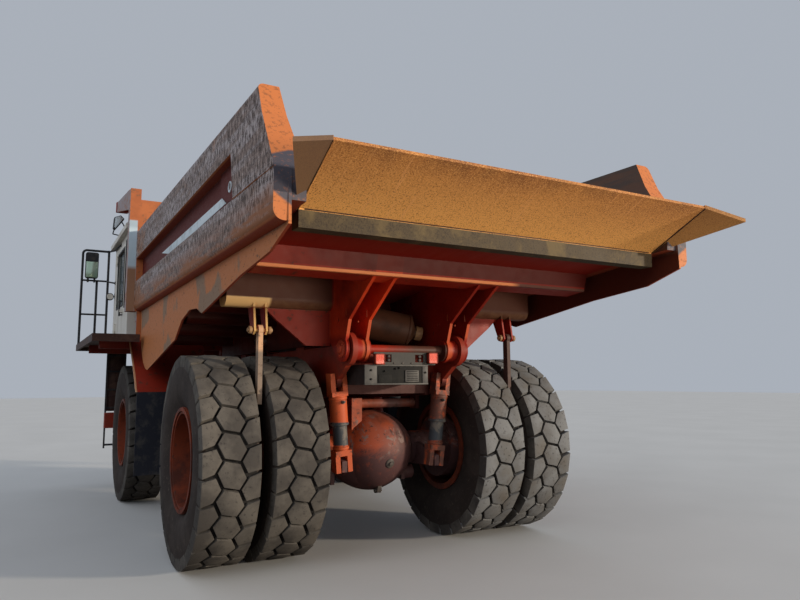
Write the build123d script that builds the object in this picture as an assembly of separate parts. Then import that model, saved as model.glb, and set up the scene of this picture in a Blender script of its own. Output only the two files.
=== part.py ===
from build123d import *
import os
from math import hypot

# Rigid haul truck for mines and quarries, in millimetres, +X forward, +Y left, +Z up.
# Stations along the truck are counted from the rear axle; each piece is moved
# to the middle of the overall length when it is written.

# Overall reach, from the rear axle
wheelbase = 4000.0
deck_front = wheelbase + 2000
wing_tip_x = -2990.0
origin_x = (deck_front + wing_tip_x) / 2

# Clearances
seat_gap = 0.3
running_fit = 0.05
pivot_gap = 5.0

# Tyres and rims
tyre_radius = 935.0
tyre_width = 500.0
tread_width = 470.0
shoulder_drop = 34.0
bead_radius = 440.0
bead_half = 190.0
rim_wall = 32.0
flange_radius = 466.0
flange_wall = 18.0
bead_seat_room = 6.0
dual_middle = 1350.0
dual_spacing = 600.0
front_track = 1660.0
hub_disc = 34.0

# Rear axle
axle_tube_radius = 165.0
diff_radius = 405.0
diff_half = 420.0
diff_setback = 70.0
spindle_radius = 130.0
brake_radius = 325.0
brake_inner = 800.0
brake_outer = 1110.0
hub_radius = 290.0
hub_cap_radius = 205.0

# Front struts, knuckles and steering
kingpin_y = front_track - 440
strut_rod_radius = 75.0
strut_tube_radius = 122.0
strut_bottom = 1260.0
strut_top = 1790.0
strut_collar = 30.0
knuckle_radius = 118.0
front_spindle_radius = 80.0
steer_arm_x = 360.0
steer_arm_z = tyre_radius - 235
steer_arm_wall = 44.0
steer_pin_radius = 24.0
tie_rod_radius = 32.0

# Main frame
rail_outer = 600.0
rail_wall = 160.0
rail_top = 1950.0
rail_front_top = 1450.0
rail_front_bottom = 1050.0
rail_rear_bottom = 1480.0
rail_front_end = wheelbase + 1600
rail_rear = -400.0
rear_plate_wall = 60.0
tail_web = 50.0
rail_inner = rail_outer - rail_wall
pad_height = 30.0

# Bed pivot
pivot_x = -760.0
pivot_z = 1913.0
pivot_pin_radius = 45.0
pivot_ear_radius = 150.0
cross_tube_radius = 42.0

# Bed
leg_plate = 30.0
leg_ring = 118.0
leg_slot = (-870.0, 2230.0)
leg_hole = (-700.0, 2172.0)
leg_inner_y = 420.0
leg_outer_y = 620.0
wall_inner = 1650.0
wall_outer = 1775.0
skirt_plate = 20.0
wall_lean_start = 2770.0
wall_lean = 0.085
wall_top_rear = 3600.0
wall_top_front = 3712.0
top_rail_bottom = 3310.0
rail_face = 1870.0
top_rail_round = 42.0
low_rail_top_rear = 2925.0
low_rail_top_front = 2990.0
low_rail_bottom = 2590.0
low_rail_round = 70.0
low_rail_rear = -2470.0
post_foot_front = -1550.0
post_head_front = -1450.0
bed_front = wheelbase - 600
tail_x = -2276.0
tail_z = 2720.0
floor_front_z = 2200.0
floor_plate = 30.0
lip_x = -2846.0
lip_z = 3000.0
wing_tip_y = 1940.0
wing_tip_z = 2890.0
tail_half = 1640.0
tail_plate = 26.0
bolster_depth = 118.0
bolster_width = 110.0
bolster_lap = 14.0
headboard_plate = 40.0
post_inner = 1830.0
post_outer = 1970.0
post_depth = 160.0
canopy_front = wheelbase + 1080
canopy_plate = 20.0
canopy_rise = 330.0
canopy_flange = 150.0

# Hoists
hoist_y = 715.0
hoist_base_x = 1100.0
hoist_base_z = 850.0
hoist_head_x = 1400.0
hoist_head_z = 2100.0
hoist_barrel_radius = 78.0
hoist_sleeve_radius = 63.0
hoist_rod_radius = 47.0
hoist_eye_radius = 80.0
hoist_eye_width = 120.0
hoist_pin_radius = 34.0

# Rear struts
rear_strut_top = (-490.0, 575.0, 1640.0)
rear_strut_foot = (-460.0, 500.0, tyre_radius - 95)
rear_strut_radius = 82.0
strut_pin_radius = 28.0
strut_ear = 78.0
strut_fork_gap = 36.0
strut_fork_half = 82.0

# Trailing links and the cross link above the axle
link_y = 475.0
link_rear_x = 60.0
link_rear_z = tyre_radius - 260
link_front_x = 1560.0
link_front_z = tyre_radius + 45
link_radius = 52.0
link_eye = 110.0
link_eye_radius = 72.0
hanger_wall = 70.0
panhard_x = -160.0
panhard_z = 1402.0

# Rock ejectors
ejector_x = -590.0
ejector_z = 2070.0
ejector_bottom = 1430.0
ejector_bar = 40.0
outrigger_x = -480.0

# Lamp tray behind the frame, and its two tail lamps as y and z ranges
tray_rear = -860.0
tray_left = 470.0
tray_right = -195.0
tray_plate = 14.0
tail_lamps = [(284, 372, 1775, 1864), (-282, -190, 1787, 1881)]

# Decks, cab and hood
deck_top = 2250.0
deck_plate = 40.0
deck_outer = 2400.0
deck_inner = 1830.0
deck_rear = wheelbase - 1000
deck_step = bed_front + 200
deck_edge = 100.0
cab_rear = wheelbase - 20
cab_front = wheelbase + 1750
cab_left = deck_outer - 520
cab_right = cab_left - 1280
cab_height = 1600.0
cab_top = deck_top + cab_height
cab_wall = 60.0
roof_wall = 100.0
roof_top = cab_top + roof_wall
headboard_top = roof_top + 200
post_top = headboard_top + 150
canopy_under = headboard_top - 40
glass_wall = 10.0
side_window = 260.0
door_width = 950.0
door_rear = cab_rear + side_window + 210
door_front = door_rear + door_width
door_gap = 6.0
hinge_x = door_front - 24
hinge_y = cab_left + 18
hinge_radius = 16.0
hinge_pin_radius = 8.0
hinge_height = 90.0
hinge_levels = (deck_top + 200, cab_top - 300)
hood_left = cab_right - 100
hood_right = -700.0
hood_top = deck_top + 370

# Bumper, flaps and tanks
bumper_front = rail_front_end + 250
bumper_half = 1950.0
bumper_bottom = 900.0
bumper_top = 1140.0
fender_outer = 1880.0
fender_inner = 900.0
fender_plate = 16.0
flap_x = wheelbase - 1220
flap_bottom = 470.0
fender_bottom = 1505.0
tube_radius = 19.0
brace_radius = 15.0
corner_rail_top = deck_top + 1590
brace_lower = deck_top + 510
brace_upper = deck_top + 1080
mirror_bottom = brace_upper + 30
tow_hole_radius = 26.0
tow_eye_y = 400.0
tow_eye_bottom = 980.0
tow_eye_wall = 50.0

# Engine and gearbox
engine_rear = wheelbase + 150
gearbox_z = 1150.0

# Follow from the sizes above
axle_height = tyre_radius
axle_end = dual_middle + 60
front_spindle_end = front_track + 20
rest_z = rail_top + pad_height
hoist_run = Vector(hoist_head_x - hoist_base_x, 0, hoist_head_z - hoist_base_z)
hoist_length = hoist_run.length
hoist_place = Plane(origin=(hoist_base_x, hoist_y, hoist_base_z), x_dir=(0, 1, 0), z_dir=hoist_run)
hoist_barrel_end = hoist_length - 200
hoist_sleeve_start = 140.0
hoist_sleeve_end = hoist_barrel_end + 50
hoist_rod_start = hoist_sleeve_start + 15
upward = (Align.CENTER, Align.CENTER, Align.MIN)

# Cross beams of the bed: station, depth, width, and 1 where one also spans between the girders
beam_table = [(outrigger_x, 280, 240, 0), (400, 170, 220, 1), (1080, 170, 220, 1), (2000, 150, 220, 1),
              (2900, 130, 200, 1)]

# The rearmost beam runs over both legs in one piece, as (x, z) points below the floor
rear_beam = [(-1495, 0), (-1450, 158), (-1205, 158), (-1165, 0)]

# Rear edge of a bed side, from its top down to the foot of its lower rail, as (x, z) points
side_rear = [(-2103, wall_top_rear), (-2208, 3360), (-2410, 3030), (low_rail_rear, low_rail_top_rear)]

# Cab windows as boxes through one wall: x, y and z ranges
window_low = deck_top + 700
window_high = cab_top - 110
cab_windows = [
    (cab_front - cab_wall, cab_front, cab_right + 110, cab_left - 110, window_low, window_high),
    (cab_rear, cab_rear + cab_wall, cab_right + 130, cab_left - 130, window_low, window_high),
    (cab_rear + 120, door_rear - 90, cab_left - cab_wall, cab_left, window_low - 200, window_high),
    (cab_rear + 160, cab_front - 160, cab_right, cab_right + cab_wall, window_low, window_high),
]


def block(x0, x1, y0, y1, z0, z1):
    solid = Box(x1 - x0, y1 - y0, z1 - z0)
    return Pos((x0 + x1) / 2, (y0 + y1) / 2, (z0 + z1) / 2) * solid


def side_plate(points, y0, y1):
    # A plate whose outline is (x, z) points, between two widths
    plane = Plane(origin=(0, y1, 0), x_dir=(1, 0, 0), z_dir=(0, -1, 0))
    return extrude(plane * make_face(Polyline(*points, close=True)), y1 - y0)


def cross_plate(points, x0, x1):
    # A plate whose outline is (y, z) points, between two stations
    plane = Plane(origin=(x0, 0, 0), x_dir=(0, 1, 0), z_dir=(1, 0, 0))
    return extrude(plane * make_face(Polyline(*points, close=True)), x1 - x0)


def flat_plate(points, z0, z1):
    # A plate whose outline is (x, y) points, between two heights
    plane = Plane(origin=(0, 0, z0))
    return extrude(plane * make_face(Polyline(*points, close=True)), z1 - z0)


def bar(start, end, radius):
    # A round bar between two points
    a = Vector(*start)
    b = Vector(*end)
    solid = Cylinder(radius, (b - a).length, align=(Align.CENTER, Align.CENTER, Align.MIN))
    return Plane(origin=a, z_dir=b - a) * solid


def bent_tube(points, radius, bend):
    # A tube along straight runs joined by bends
    path = FilletPolyline(*points, radius=bend)
    start = Plane(origin=path @ 0, z_dir=path % 0)
    return sweep(start * Circle(radius), path)


def wheel_turning(profile, x, z):
    # A solid of revolution about the axle line, from (radius, y) points
    face = make_face(Polyline(*profile, close=True))
    return Pos(x, 0, z) * revolve(face, Axis.Y)


def right(solid):
    return mirror(solid, Plane.XZ)


def pair(solid):
    return Compound([solid, right(solid)])


def floor_under(x):
    # Underside of the bed floor at a station
    return tail_z + (floor_front_z - tail_z) * (x - tail_x) / (bed_front - tail_x)


def tyre(middle):
    half = tyre_width / 2
    crown = tread_width / 2
    shoulder = tyre_radius - shoulder_drop
    belly = (bead_radius + shoulder) / 2
    seat = flange_radius + bead_seat_room
    left_bead = Line((bead_radius, bead_half), (seat, bead_half))
    left_wall = ThreePointArc((seat, bead_half), (belly, half), (shoulder, crown))
    left_shoulder = Line((shoulder, crown), (tyre_radius, crown - shoulder_drop))
    crown_line = Line((tyre_radius, crown - shoulder_drop), (tyre_radius, shoulder_drop - crown))
    right_shoulder = Line((tyre_radius, shoulder_drop - crown), (shoulder, -crown))
    right_wall = ThreePointArc((shoulder, -crown), (belly, -half), (seat, -bead_half))
    right_bead = Line((seat, -bead_half), (bead_radius, -bead_half))
    bead = Line((bead_radius, -bead_half), (bead_radius, bead_half))
    edges = [left_bead, left_wall, left_shoulder, crown_line, right_shoulder, right_wall,
             right_bead, bead]
    face = make_face(Wire(edges))
    return Pos(0, middle, 0) * revolve(face, Axis.Y)


def rim(middle):
    # Barrel with a flange at each side of the tyre's beads
    outer = bead_radius - seat_gap
    inner = outer - rim_wall
    edge = bead_half + seat_gap
    return Pos(0, middle, 0) * revolve(make_face(Polyline(
        (inner, -edge - flange_wall), (flange_radius, -edge - flange_wall),
        (flange_radius, -edge), (outer, -edge), (outer, edge),
        (flange_radius, edge), (flange_radius, edge + flange_wall),
        (inner, edge + flange_wall), close=True)), Axis.Y)


def rear_rims():
    # Two rims on one hub drum, which turns on the axle's spindle
    outer_rim = dual_middle + dual_spacing / 2
    inner_rim = dual_middle - dual_spacing / 2
    reach = bead_radius - rim_wall / 2
    bore = spindle_radius + running_fit
    inner_disc = inner_rim + bead_half - hub_disc
    outer_disc = outer_rim - bead_half
    cap = outer_rim + 20
    drum = wheel_turning([
        (bore, inner_disc), (reach, inner_disc), (reach, inner_disc + hub_disc),
        (hub_radius, inner_disc + 2 * hub_disc), (hub_radius, outer_disc - hub_disc),
        (reach, outer_disc), (reach, outer_disc + hub_disc),
        (hub_radius - 20, outer_disc + 2 * hub_disc), (hub_cap_radius, outer_disc + 2 * hub_disc),
        (hub_cap_radius - 15, cap), (hub_cap_radius / 2, cap + 25), (0, cap + 25),
        (0, axle_end + 10), (bore, axle_end + 10)], 0, 0)
    return drum + rim(outer_rim) + rim(inner_rim)


def front_rim():
    reach = bead_radius - rim_wall / 2
    bore = front_spindle_radius + running_fit
    disc = front_track - bead_half / 2
    return rim(front_track) + wheel_turning([
        (bore, disc - 60), (hub_cap_radius, disc - 60), (hub_cap_radius + 30, disc),
        (reach, disc), (reach, disc + hub_disc), (hub_cap_radius + 50, disc + hub_disc),
        (hub_cap_radius - 10, disc + 110), (hub_cap_radius - 60, disc + 210),
        (0, disc + 210), (0, front_spindle_end + 10), (bore, front_spindle_end + 10)], 0, 0)


def rear_axle():
    # Banjo housing with its nose, axle tubes, brakes, spindles and strut lugs
    half = [(axle_end, spindle_radius), (brake_outer, spindle_radius), (brake_outer, brake_radius),
            (brake_inner, brake_radius), (brake_inner, axle_tube_radius),
            (diff_half, axle_tube_radius)]
    shell_edges = [Line((r0, y0), (r1, y1)) for (y0, r0), (y1, r1) in zip(half, half[1:])]
    shell_edges += [Line((r0, -y0), (r1, -y1)) for (y0, r0), (y1, r1) in zip(half, half[1:])]
    mid = diff_half * 0.62
    shell_edges += [ThreePointArc((axle_tube_radius, diff_half), (diff_radius * 0.80, mid),
                                  (diff_radius, 0)),
                    ThreePointArc((diff_radius, 0), (diff_radius * 0.80, -mid),
                                  (axle_tube_radius, -diff_half)),
                    Line((spindle_radius, axle_end), (0, axle_end)),
                    Line((0, axle_end), (0, -axle_end)),
                    Line((0, -axle_end), (spindle_radius, -axle_end))]
    housing = revolve(make_face(Wire(shell_edges)), Axis.Y)
    nose = Plane(origin=(diff_radius * 0.55, 0, 0), z_dir=(1, 0, 0)) * Cone(
        diff_radius * 0.75, 130, 360, align=(Align.CENTER, Align.CENTER, Align.MIN))
    cover = Pos(-diff_setback, 0, 0) * Sphere(diff_radius - 25)
    foot_x, foot_y, foot_z = rear_strut_foot
    drop = foot_z - axle_height
    lug = side_plate([(foot_x - 60, drop - 50), (-60, drop - 70), (-60, 90),
                      (foot_x - 60, drop + 50)], foot_y - 25, foot_y + 25)
    lug -= bar((foot_x, foot_y - 30, drop), (foot_x, foot_y + 30, drop), strut_pin_radius + seat_gap)
    link_drop = link_rear_z - axle_height
    hanger = side_plate([(link_rear_x - 70, link_drop - 70), (link_rear_x + 70, link_drop - 70),
                         (link_rear_x + 70, 0), (link_rear_x - 70, 0)],
                        link_y - link_eye / 2 - 40, link_y - link_eye / 2)
    solid = housing + nose + cover + lug + right(lug) + hanger + right(hanger)
    solid += block(panhard_x - 60, panhard_x + 60, 180, 290, 100, panhard_z - axle_height + 55)
    return Pos(0, 0, axle_height) * solid


def rear_links():
    rear = (link_rear_x, link_y, link_rear_z)
    front = (link_front_x, link_y, link_front_z)
    arm = bar(rear, front, link_radius)
    for x, z in ((link_rear_x, link_rear_z), (link_front_x, link_front_z)):
        arm += bar((x, link_y - link_eye / 2, z), (x, link_y + link_eye / 2, z), link_eye_radius)
    cross = bar((panhard_x, 180, panhard_z), (panhard_x, -rail_inner, panhard_z), 45)
    return Compound([arm, right(arm), cross])


def tail_outline():
    # Tail of the frame's outer web, which carries the bed pivot and strut pin
    pin_x, pin_y, pin_z = rear_strut_top
    return [(pivot_x - 40, pivot_z - 120), (pin_x - strut_ear, pin_z), (pin_x, pin_z - strut_ear),
            (rail_rear + 30, pin_z - strut_ear), (rail_rear + 30, rail_rear_bottom),
            (100, rail_rear_bottom), (100, rail_top), (pivot_x + 330, rail_top),
            (pivot_x + 40, pivot_z + 120)]


def frame_rails():
    slope_x = wheelbase - 1650
    outline = [(rail_rear, rail_rear_bottom), (1300, rail_rear_bottom - 60), (slope_x, rail_front_bottom),
               (rail_front_end, rail_front_bottom), (rail_front_end, rail_front_top),
               (wheelbase - 850, rail_front_top), (wheelbase - 1400, rail_top), (rail_rear, rail_top)]
    rail = side_plate(outline, rail_inner, rail_outer)
    web = side_plate(tail_outline(), rail_outer - tail_web, rail_outer)
    web += bar((pivot_x, rail_outer - tail_web, pivot_z), (pivot_x, rail_outer, pivot_z),
               pivot_ear_radius)
    pin_x, pin_y, pin_z = rear_strut_top
    web += bar((pin_x, rail_outer - tail_web, pin_z), (pin_x, rail_outer, pin_z), strut_ear)
    web -= bar((pin_x, rail_outer - tail_web, pin_z), (pin_x, rail_outer, pin_z),
               strut_pin_radius + seat_gap)
    hanger = side_plate([(hoist_base_x - 110, hoist_base_z - 60), (hoist_base_x + 60, hoist_base_z - 90),
                         (link_front_x + 90, link_front_z - 90), (link_front_x + 200, 1420),
                         (hoist_base_x - 200, 1440)], rail_outer - hanger_wall, rail_outer)
    hoist_pin = bar((hoist_base_x, rail_outer - hanger_wall, hoist_base_z),
                    (hoist_base_x, hoist_y + hoist_eye_width / 2 + 12, hoist_base_z), hoist_pin_radius)
    pivot_pin = bar((pivot_x, leg_inner_y - 15, pivot_z),
                    (pivot_x, leg_outer_y + leg_plate + 15, pivot_z), pivot_pin_radius)
    side = rail + web + hanger + hoist_pin + pivot_pin
    for x in (300, wheelbase - 2500, wheelbase - 1600):
        side += block(x, x + 220, leg_inner_y + 30, leg_outer_y - 20,
                      rail_top, rail_top + pad_height - seat_gap)
    rear_plate = block(rail_rear, rail_rear + rear_plate_wall, -rail_inner, rail_inner,
                       rail_rear_bottom + 20, rail_top)
    panhard_lug = block(panhard_x - 60, panhard_x + 60, -rail_inner - 40, -rail_inner,
                        panhard_z - 60, rail_rear_bottom + 10)
    solid = side + right(side) + rear_plate + panhard_lug
    for x, z, radius in ((900, 1700, 95), (slope_x + 100, 1500, 95)):
        solid += bar((x, -rail_inner, z), (x, rail_inner, z), radius)
    solid += block(wheelbase - 360, wheelbase - 200, -rail_inner, rail_inner, 1290, rail_front_top)
    solid += block(rail_front_end - 60, rail_front_end, -rail_inner, rail_inner,
                   rail_front_bottom, rail_front_top)
    bracket = block(wheelbase - 120, wheelbase + 120, rail_outer, kingpin_y - 60,
                    strut_bottom + strut_collar, rail_front_top)
    bracket += side_plate([(wheelbase - 120, rail_front_top), (wheelbase + 120, rail_front_top),
                           (wheelbase + 60, 1640), (wheelbase - 60, 1640)],
                          rail_outer - 60, kingpin_y - 60)
    bore = bar((wheelbase, kingpin_y, 1200), (wheelbase, kingpin_y, 1800), strut_tube_radius)
    bracket -= bore
    return solid + bracket + right(bracket)


def front_strut():
    # Tube fixed in the frame's bracket, which guides the knuckle's rod
    tube = bar((wheelbase, kingpin_y, strut_bottom), (wheelbase, kingpin_y, strut_top),
               strut_tube_radius)
    tube += bar((wheelbase, kingpin_y, strut_bottom),
                (wheelbase, kingpin_y, strut_bottom + strut_collar), strut_tube_radius + 14)
    cap_room = 60
    bore = bar((wheelbase, kingpin_y, strut_bottom), (wheelbase, kingpin_y, strut_top - cap_room),
               strut_rod_radius + running_fit)
    return tube - bore


def knuckle():
    # Strut rod, spindle block, spindle, backing plate and steering arm
    rod_top = strut_top - 90
    solid = bar((wheelbase, kingpin_y, axle_height), (wheelbase, kingpin_y, rod_top), strut_rod_radius)
    solid += bar((wheelbase, kingpin_y, axle_height - 170), (wheelbase, kingpin_y, axle_height + 170),
                 knuckle_radius)
    solid += bar((wheelbase, kingpin_y, axle_height),
                 (wheelbase, front_spindle_end, axle_height), front_spindle_radius)
    solid += bar((wheelbase, front_track - 250, axle_height),
                 (wheelbase, front_track - 200, axle_height), 300)
    solid += bar((wheelbase, kingpin_y, axle_height),
                 (wheelbase, front_track - 250, axle_height), 105)
    pin_x = wheelbase - steer_arm_x
    solid += flat_plate([(wheelbase + 60, kingpin_y - 100), (wheelbase + 60, kingpin_y + 100),
                         (pin_x - 40, kingpin_y + 45), (pin_x - 40, kingpin_y - 45)],
                        steer_arm_z, steer_arm_z + steer_arm_wall)
    solid += bar((wheelbase, kingpin_y, steer_arm_z), (wheelbase, kingpin_y, axle_height - 100), 100)
    solid += bar((pin_x, kingpin_y, steer_arm_z - 80), (pin_x, kingpin_y, steer_arm_z),
                 steer_pin_radius)
    return solid


def tie_rod():
    # Eyes on both steering arms' pins; the right one is the open pivot of the linkage.
    # The arms point straight back, so that the rod keeps its length at every angle.
    pin_x = wheelbase - steer_arm_x
    top = steer_arm_z - seat_gap
    bottom = steer_arm_z - 70
    rod_z = (top + bottom) / 2
    solid = bar((pin_x, 40 - kingpin_y, rod_z), (pin_x, kingpin_y - 40, rod_z), tie_rod_radius)
    for side, room in ((1, running_fit), (-1, 1.0)):
        y = side * kingpin_y
        solid += bar((pin_x, y, bottom), (pin_x, y, top), 52)
        solid -= bar((pin_x, y, bottom - 5), (pin_x, y, top + 5), steer_pin_radius + room)
    return solid


def rear_strut():
    # Cylinder with a fork at both ends, between the frame's tail and the axle lug
    top = Vector(*rear_strut_top)
    foot = Vector(*rear_strut_foot)
    length = (top - foot).length
    solid = Pos(0, 0, 150) * Cylinder(rear_strut_radius - 14, 260, align=upward)
    solid += Pos(0, 0, 380) * Cylinder(rear_strut_radius, length - 380 - 150, align=upward)
    solid += Pos(0, 0, 100) * Box(130, 160, 50, align=upward)
    solid += Pos(0, 0, length - 155) * Box(130, 160, 45, align=upward)
    leg = strut_fork_half - strut_fork_gap
    for y in (-strut_fork_half, strut_fork_gap):
        solid += Pos(0, y, -50) * Box(110, leg, 160, align=(Align.CENTER, Align.MIN, Align.MIN))
        solid += Pos(0, y, length - 120) * Box(110, leg, 180,
                                               align=(Align.CENTER, Align.MIN, Align.MIN))
    solid = Plane(origin=foot, x_dir=(1, 0, 0), z_dir=top - foot) * solid
    for x, y, z in (rear_strut_top, rear_strut_foot):
        solid += bar((x, y - strut_fork_half, z), (x, y + strut_fork_half, z), strut_pin_radius)
    return solid


def bed_floor():
    under = [(tail_x, tail_z), (bed_front, floor_front_z),
             (bed_front, floor_front_z + floor_plate), (tail_x, tail_z + floor_plate)]
    return side_plate(under, -wall_inner, wall_inner)


def bed_ducktail():
    # Upswept tail plate with a wing at each end and the rear bolster below its edge
    rise = lip_z - tail_z
    run = tail_x - lip_x
    slope = hypot(rise, run)
    up = (tail_plate * rise / slope, tail_plate * run / slope)
    center = side_plate([(tail_x, tail_z), (lip_x, lip_z), (lip_x + up[0], lip_z + up[1]),
                         (tail_x, tail_z + tail_plate * slope / run)], -tail_half, tail_half)
    back_x = tail_x - bolster_lap
    front_x = tail_x + bolster_width
    bolster = side_plate([(back_x, tail_z - bolster_depth), (back_x, tail_z + bolster_lap * rise / run),
                          (tail_x, tail_z), (front_x, floor_under(front_x)),
                          (front_x, tail_z - bolster_depth)], -tail_half, tail_half)
    return center + bolster + wing() + right(wing())


def wing():
    # Three-cornered plate between the ducktail's lip and the foot of a side
    rise = lip_z - tail_z
    run = tail_x - lip_x
    slope = hypot(rise, run)
    corners = [(tail_x, tail_half, tail_z), (lip_x, tail_half, lip_z),
               (wing_tip_x, wing_tip_y, wing_tip_z)]
    face = Face(Wire.make_polygon(corners, close=True))
    return extrude(face, tail_plate * slope / run, dir=(0, 0, 1))


def wall_outline():
    # Outer plate of a bed side: its skirt, cut away over the wheels, and its wall
    return [(-2480, 2571), (-2120, 2460), (-1450, 2400), (-240, 2230), (-30, 2295), (270, 2310),
            (630, 2240), (960, 2060), (2680, 1780), (2850, 1805), (3040, 1890), (3150, 1990),
            (3270, 2120), (3330, 2330), (bed_front, low_rail_bottom),
            (bed_front, wall_top_front)] + side_rear


def low_rail_top(x):
    run = (x - low_rail_rear) / (bed_front - low_rail_rear)
    return low_rail_top_rear + (low_rail_top_front - low_rail_top_rear) * run


def side_rails(outer_face):
    # Cross-section of a bed side up to one outer face; its inner face leans outwards above the floor
    high = wall_top_front + 10
    low = low_rail_bottom - 400
    head = wall_inner + (high - wall_lean_start) * wall_lean
    return cross_plate([(wall_inner, low), (wall_inner, wall_lean_start), (head, high),
                        (outer_face, high), (outer_face, low)], low_rail_rear - 20, bed_front)


def bed_side():
    rear_x, rear_z = side_rear[1]
    foot_rise = 20
    skin = side_plate(wall_outline(), wall_outer - skirt_plate, wall_outer)
    wall = side_plate([(tail_x, tail_z + 2), (bed_front, floor_front_z), (bed_front, wall_top_front)]
                      + side_rear + [(low_rail_rear + 20, low_rail_bottom + 140)], wall_inner, rail_face)
    wall &= side_rails(wall_outer - skirt_plate)
    top_rail = side_plate([(rear_x, top_rail_bottom), (bed_front, top_rail_bottom),
                           (bed_front, wall_top_front), side_rear[0], side_rear[1]],
                          wall_inner, rail_face)
    top_edge = top_rail.edges().filter_by(lambda e: e.center().Z > rear_z and e.length > wheelbase)
    top_rail = fillet(top_edge.sort_by(Axis.Y)[-1], top_rail_round) & side_rails(rail_face)
    low_rail = side_plate([(low_rail_rear, low_rail_bottom), (bed_front, low_rail_bottom),
                           (bed_front, low_rail_top_front), (low_rail_rear, low_rail_top_rear)],
                          wall_outer - skirt_plate, rail_face)
    low_edge = low_rail.edges().filter_by(Axis.X).group_by(Axis.Z)[0].sort_by(Axis.Y)[-1]
    low_rail = fillet(low_edge, low_rail_round)
    post = side_plate([(post_foot_front, low_rail_top(post_foot_front) - foot_rise),
                       (post_head_front, top_rail_bottom + foot_rise)] + side_rear[1:],
                      wall_inner, rail_face) & side_rails(rail_face)
    gusset = side_plate([(post_foot_front, low_rail_top(post_foot_front)), (-1107, 3035), (-917, 3120),
                         (-900, top_rail_bottom), (post_head_front, top_rail_bottom)],
                        wall_outer, wall_outer + 24)
    gusset -= bar((-1200, wall_outer, 3130), (-1200, wall_outer + 30, 3130), 35)
    return skin + wall + top_rail + low_rail + post + gusset - wing()


def bed_underframe():
    # Cross beams, plated girders with the pivot legs, and the bosses of the bed pivot
    beam = [(x, floor_under(x) - drop) for x, drop in rear_beam]
    girder = [(beam[1][0] + 50, floor_under(beam[1][0]) - rear_beam[1][1]), (-918, 2167),
              (pivot_x - 90, pivot_z + 70), (pivot_x + 80, pivot_z - 85),
              (pivot_x + 250, rest_z), (bed_front, rest_z), (bed_front, floor_under(bed_front)),
              (beam[2][0], floor_under(beam[2][0])), beam[2]]
    solid = None
    for y in (leg_inner_y, leg_outer_y):
        plate = side_plate(girder, y, y + leg_plate)
        plate -= block(leg_slot[0] - 10, leg_slot[0] + 10, y, y + leg_plate,
                       leg_slot[1] - 32, leg_slot[1] + 32)
        plate -= bar((leg_hole[0], y, leg_hole[1]), (leg_hole[0], y + leg_plate, leg_hole[1]), 14)
        plate += bar((pivot_x, y, pivot_z), (pivot_x, y + leg_plate, pivot_z), leg_ring)
        solid = plate if solid is None else solid + plate
    solid += bar((pivot_x, leg_inner_y - 20, pivot_z), (pivot_x, rail_outer - tail_web - pivot_gap, pivot_z),
                 105)
    solid -= bar((pivot_x, leg_inner_y - 16, pivot_z), (pivot_x, leg_outer_y + leg_plate, pivot_z),
                 pivot_pin_radius + running_fit)
    solid += block(pivot_x + 320, bed_front, leg_inner_y + leg_plate, leg_outer_y, rest_z, rest_z + 20)
    root = leg_outer_y + leg_plate
    bottom = floor_under(outrigger_x) - beam_table[0][1]
    solid += cross_plate([(root, pivot_z + 35), (root + 240, pivot_z + 35), (dual_middle - 180, bottom - 105),
                          (dual_middle - 50, bottom + 15), (root, bottom + 15)],
                         outrigger_x - 30, outrigger_x + 10)
    both = solid + right(solid)
    both += bar((pivot_x, -leg_inner_y + 20, pivot_z), (pivot_x, leg_inner_y - 20, pivot_z),
                cross_tube_radius)
    for x, depth, width, foot in beam_table:
        z = floor_under(x)
        for y0, y1 in ((-wall_inner, -leg_outer_y - leg_plate), (leg_outer_y + leg_plate, wall_inner),
                       (-leg_inner_y, leg_inner_y)):
            if y0 == -leg_inner_y and foot == 0:
                continue
            cross = side_plate([(x - width / 2, z - depth), (x + width / 2, z - depth),
                                (x + width / 2, floor_under(x + width / 2)),
                                (x - width / 2, floor_under(x - width / 2))], y0, y1)
            both += fillet(cross.edges().filter_by(Axis.Y).group_by(Axis.Z)[0], width * 0.36)
    return both + side_plate(beam, -wall_inner, wall_inner)


def bed_headboard():
    plate = block(bed_front, bed_front + headboard_plate, -post_inner, post_inner,
                  floor_front_z, headboard_top)
    post = block(bed_front, bed_front + post_depth, post_inner, post_outer, low_rail_bottom,
                 post_top)
    solid = plate + post + right(post)
    for step in range(4):
        z = floor_front_z + 250 + step * 490
        solid += block(bed_front + headboard_plate, bed_front + post_depth - 20, -post_inner, post_inner,
                       z, z + 70)
    return solid


def bed_canopy():
    # Rock guard over the cab, which rises forward, with side flanges and stiffening ribs below
    back = bed_front + headboard_plate
    ahead = bed_front + post_depth
    slope = canopy_rise / (canopy_front - bed_front)

    def under(x):
        return canopy_under + (x - bed_front) * slope

    end = under(canopy_front)
    solid = side_plate([(back, under(back)), (canopy_front, end), (canopy_front, end + canopy_plate),
                        (back, under(back) + canopy_plate)], -post_inner, post_inner)
    wide = side_plate([(ahead, under(ahead)), (canopy_front, end), (canopy_front, end + canopy_plate),
                       (ahead, under(ahead) + canopy_plate)], post_inner, post_outer - 20)
    flange = side_plate([(ahead, under(ahead) - 110), (canopy_front, end - 100), (canopy_front, end + 50),
                         (ahead, post_top + 18)], post_outer - 20, post_outer)
    solid += wide + right(wide) + flange + right(flange)
    tip = canopy_front - 60
    for y in (-1300, -650, 0, 650, 1300):
        solid += side_plate([(ahead, under(ahead) - canopy_flange), (tip, under(tip) - 50),
                             (tip, under(tip)), (ahead, under(ahead))], y - 12, y + 12)
    solid += side_plate([(tip, under(tip) - 100), (canopy_front, end - 100), (canopy_front, end),
                         (tip, under(tip))], -post_outer + 20, post_outer - 20)
    return solid


def hoist_eye(z):
    return Pos(0, 0, z) * Rot(0, 90, 0) * Cylinder(hoist_eye_radius, hoist_eye_width)


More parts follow.
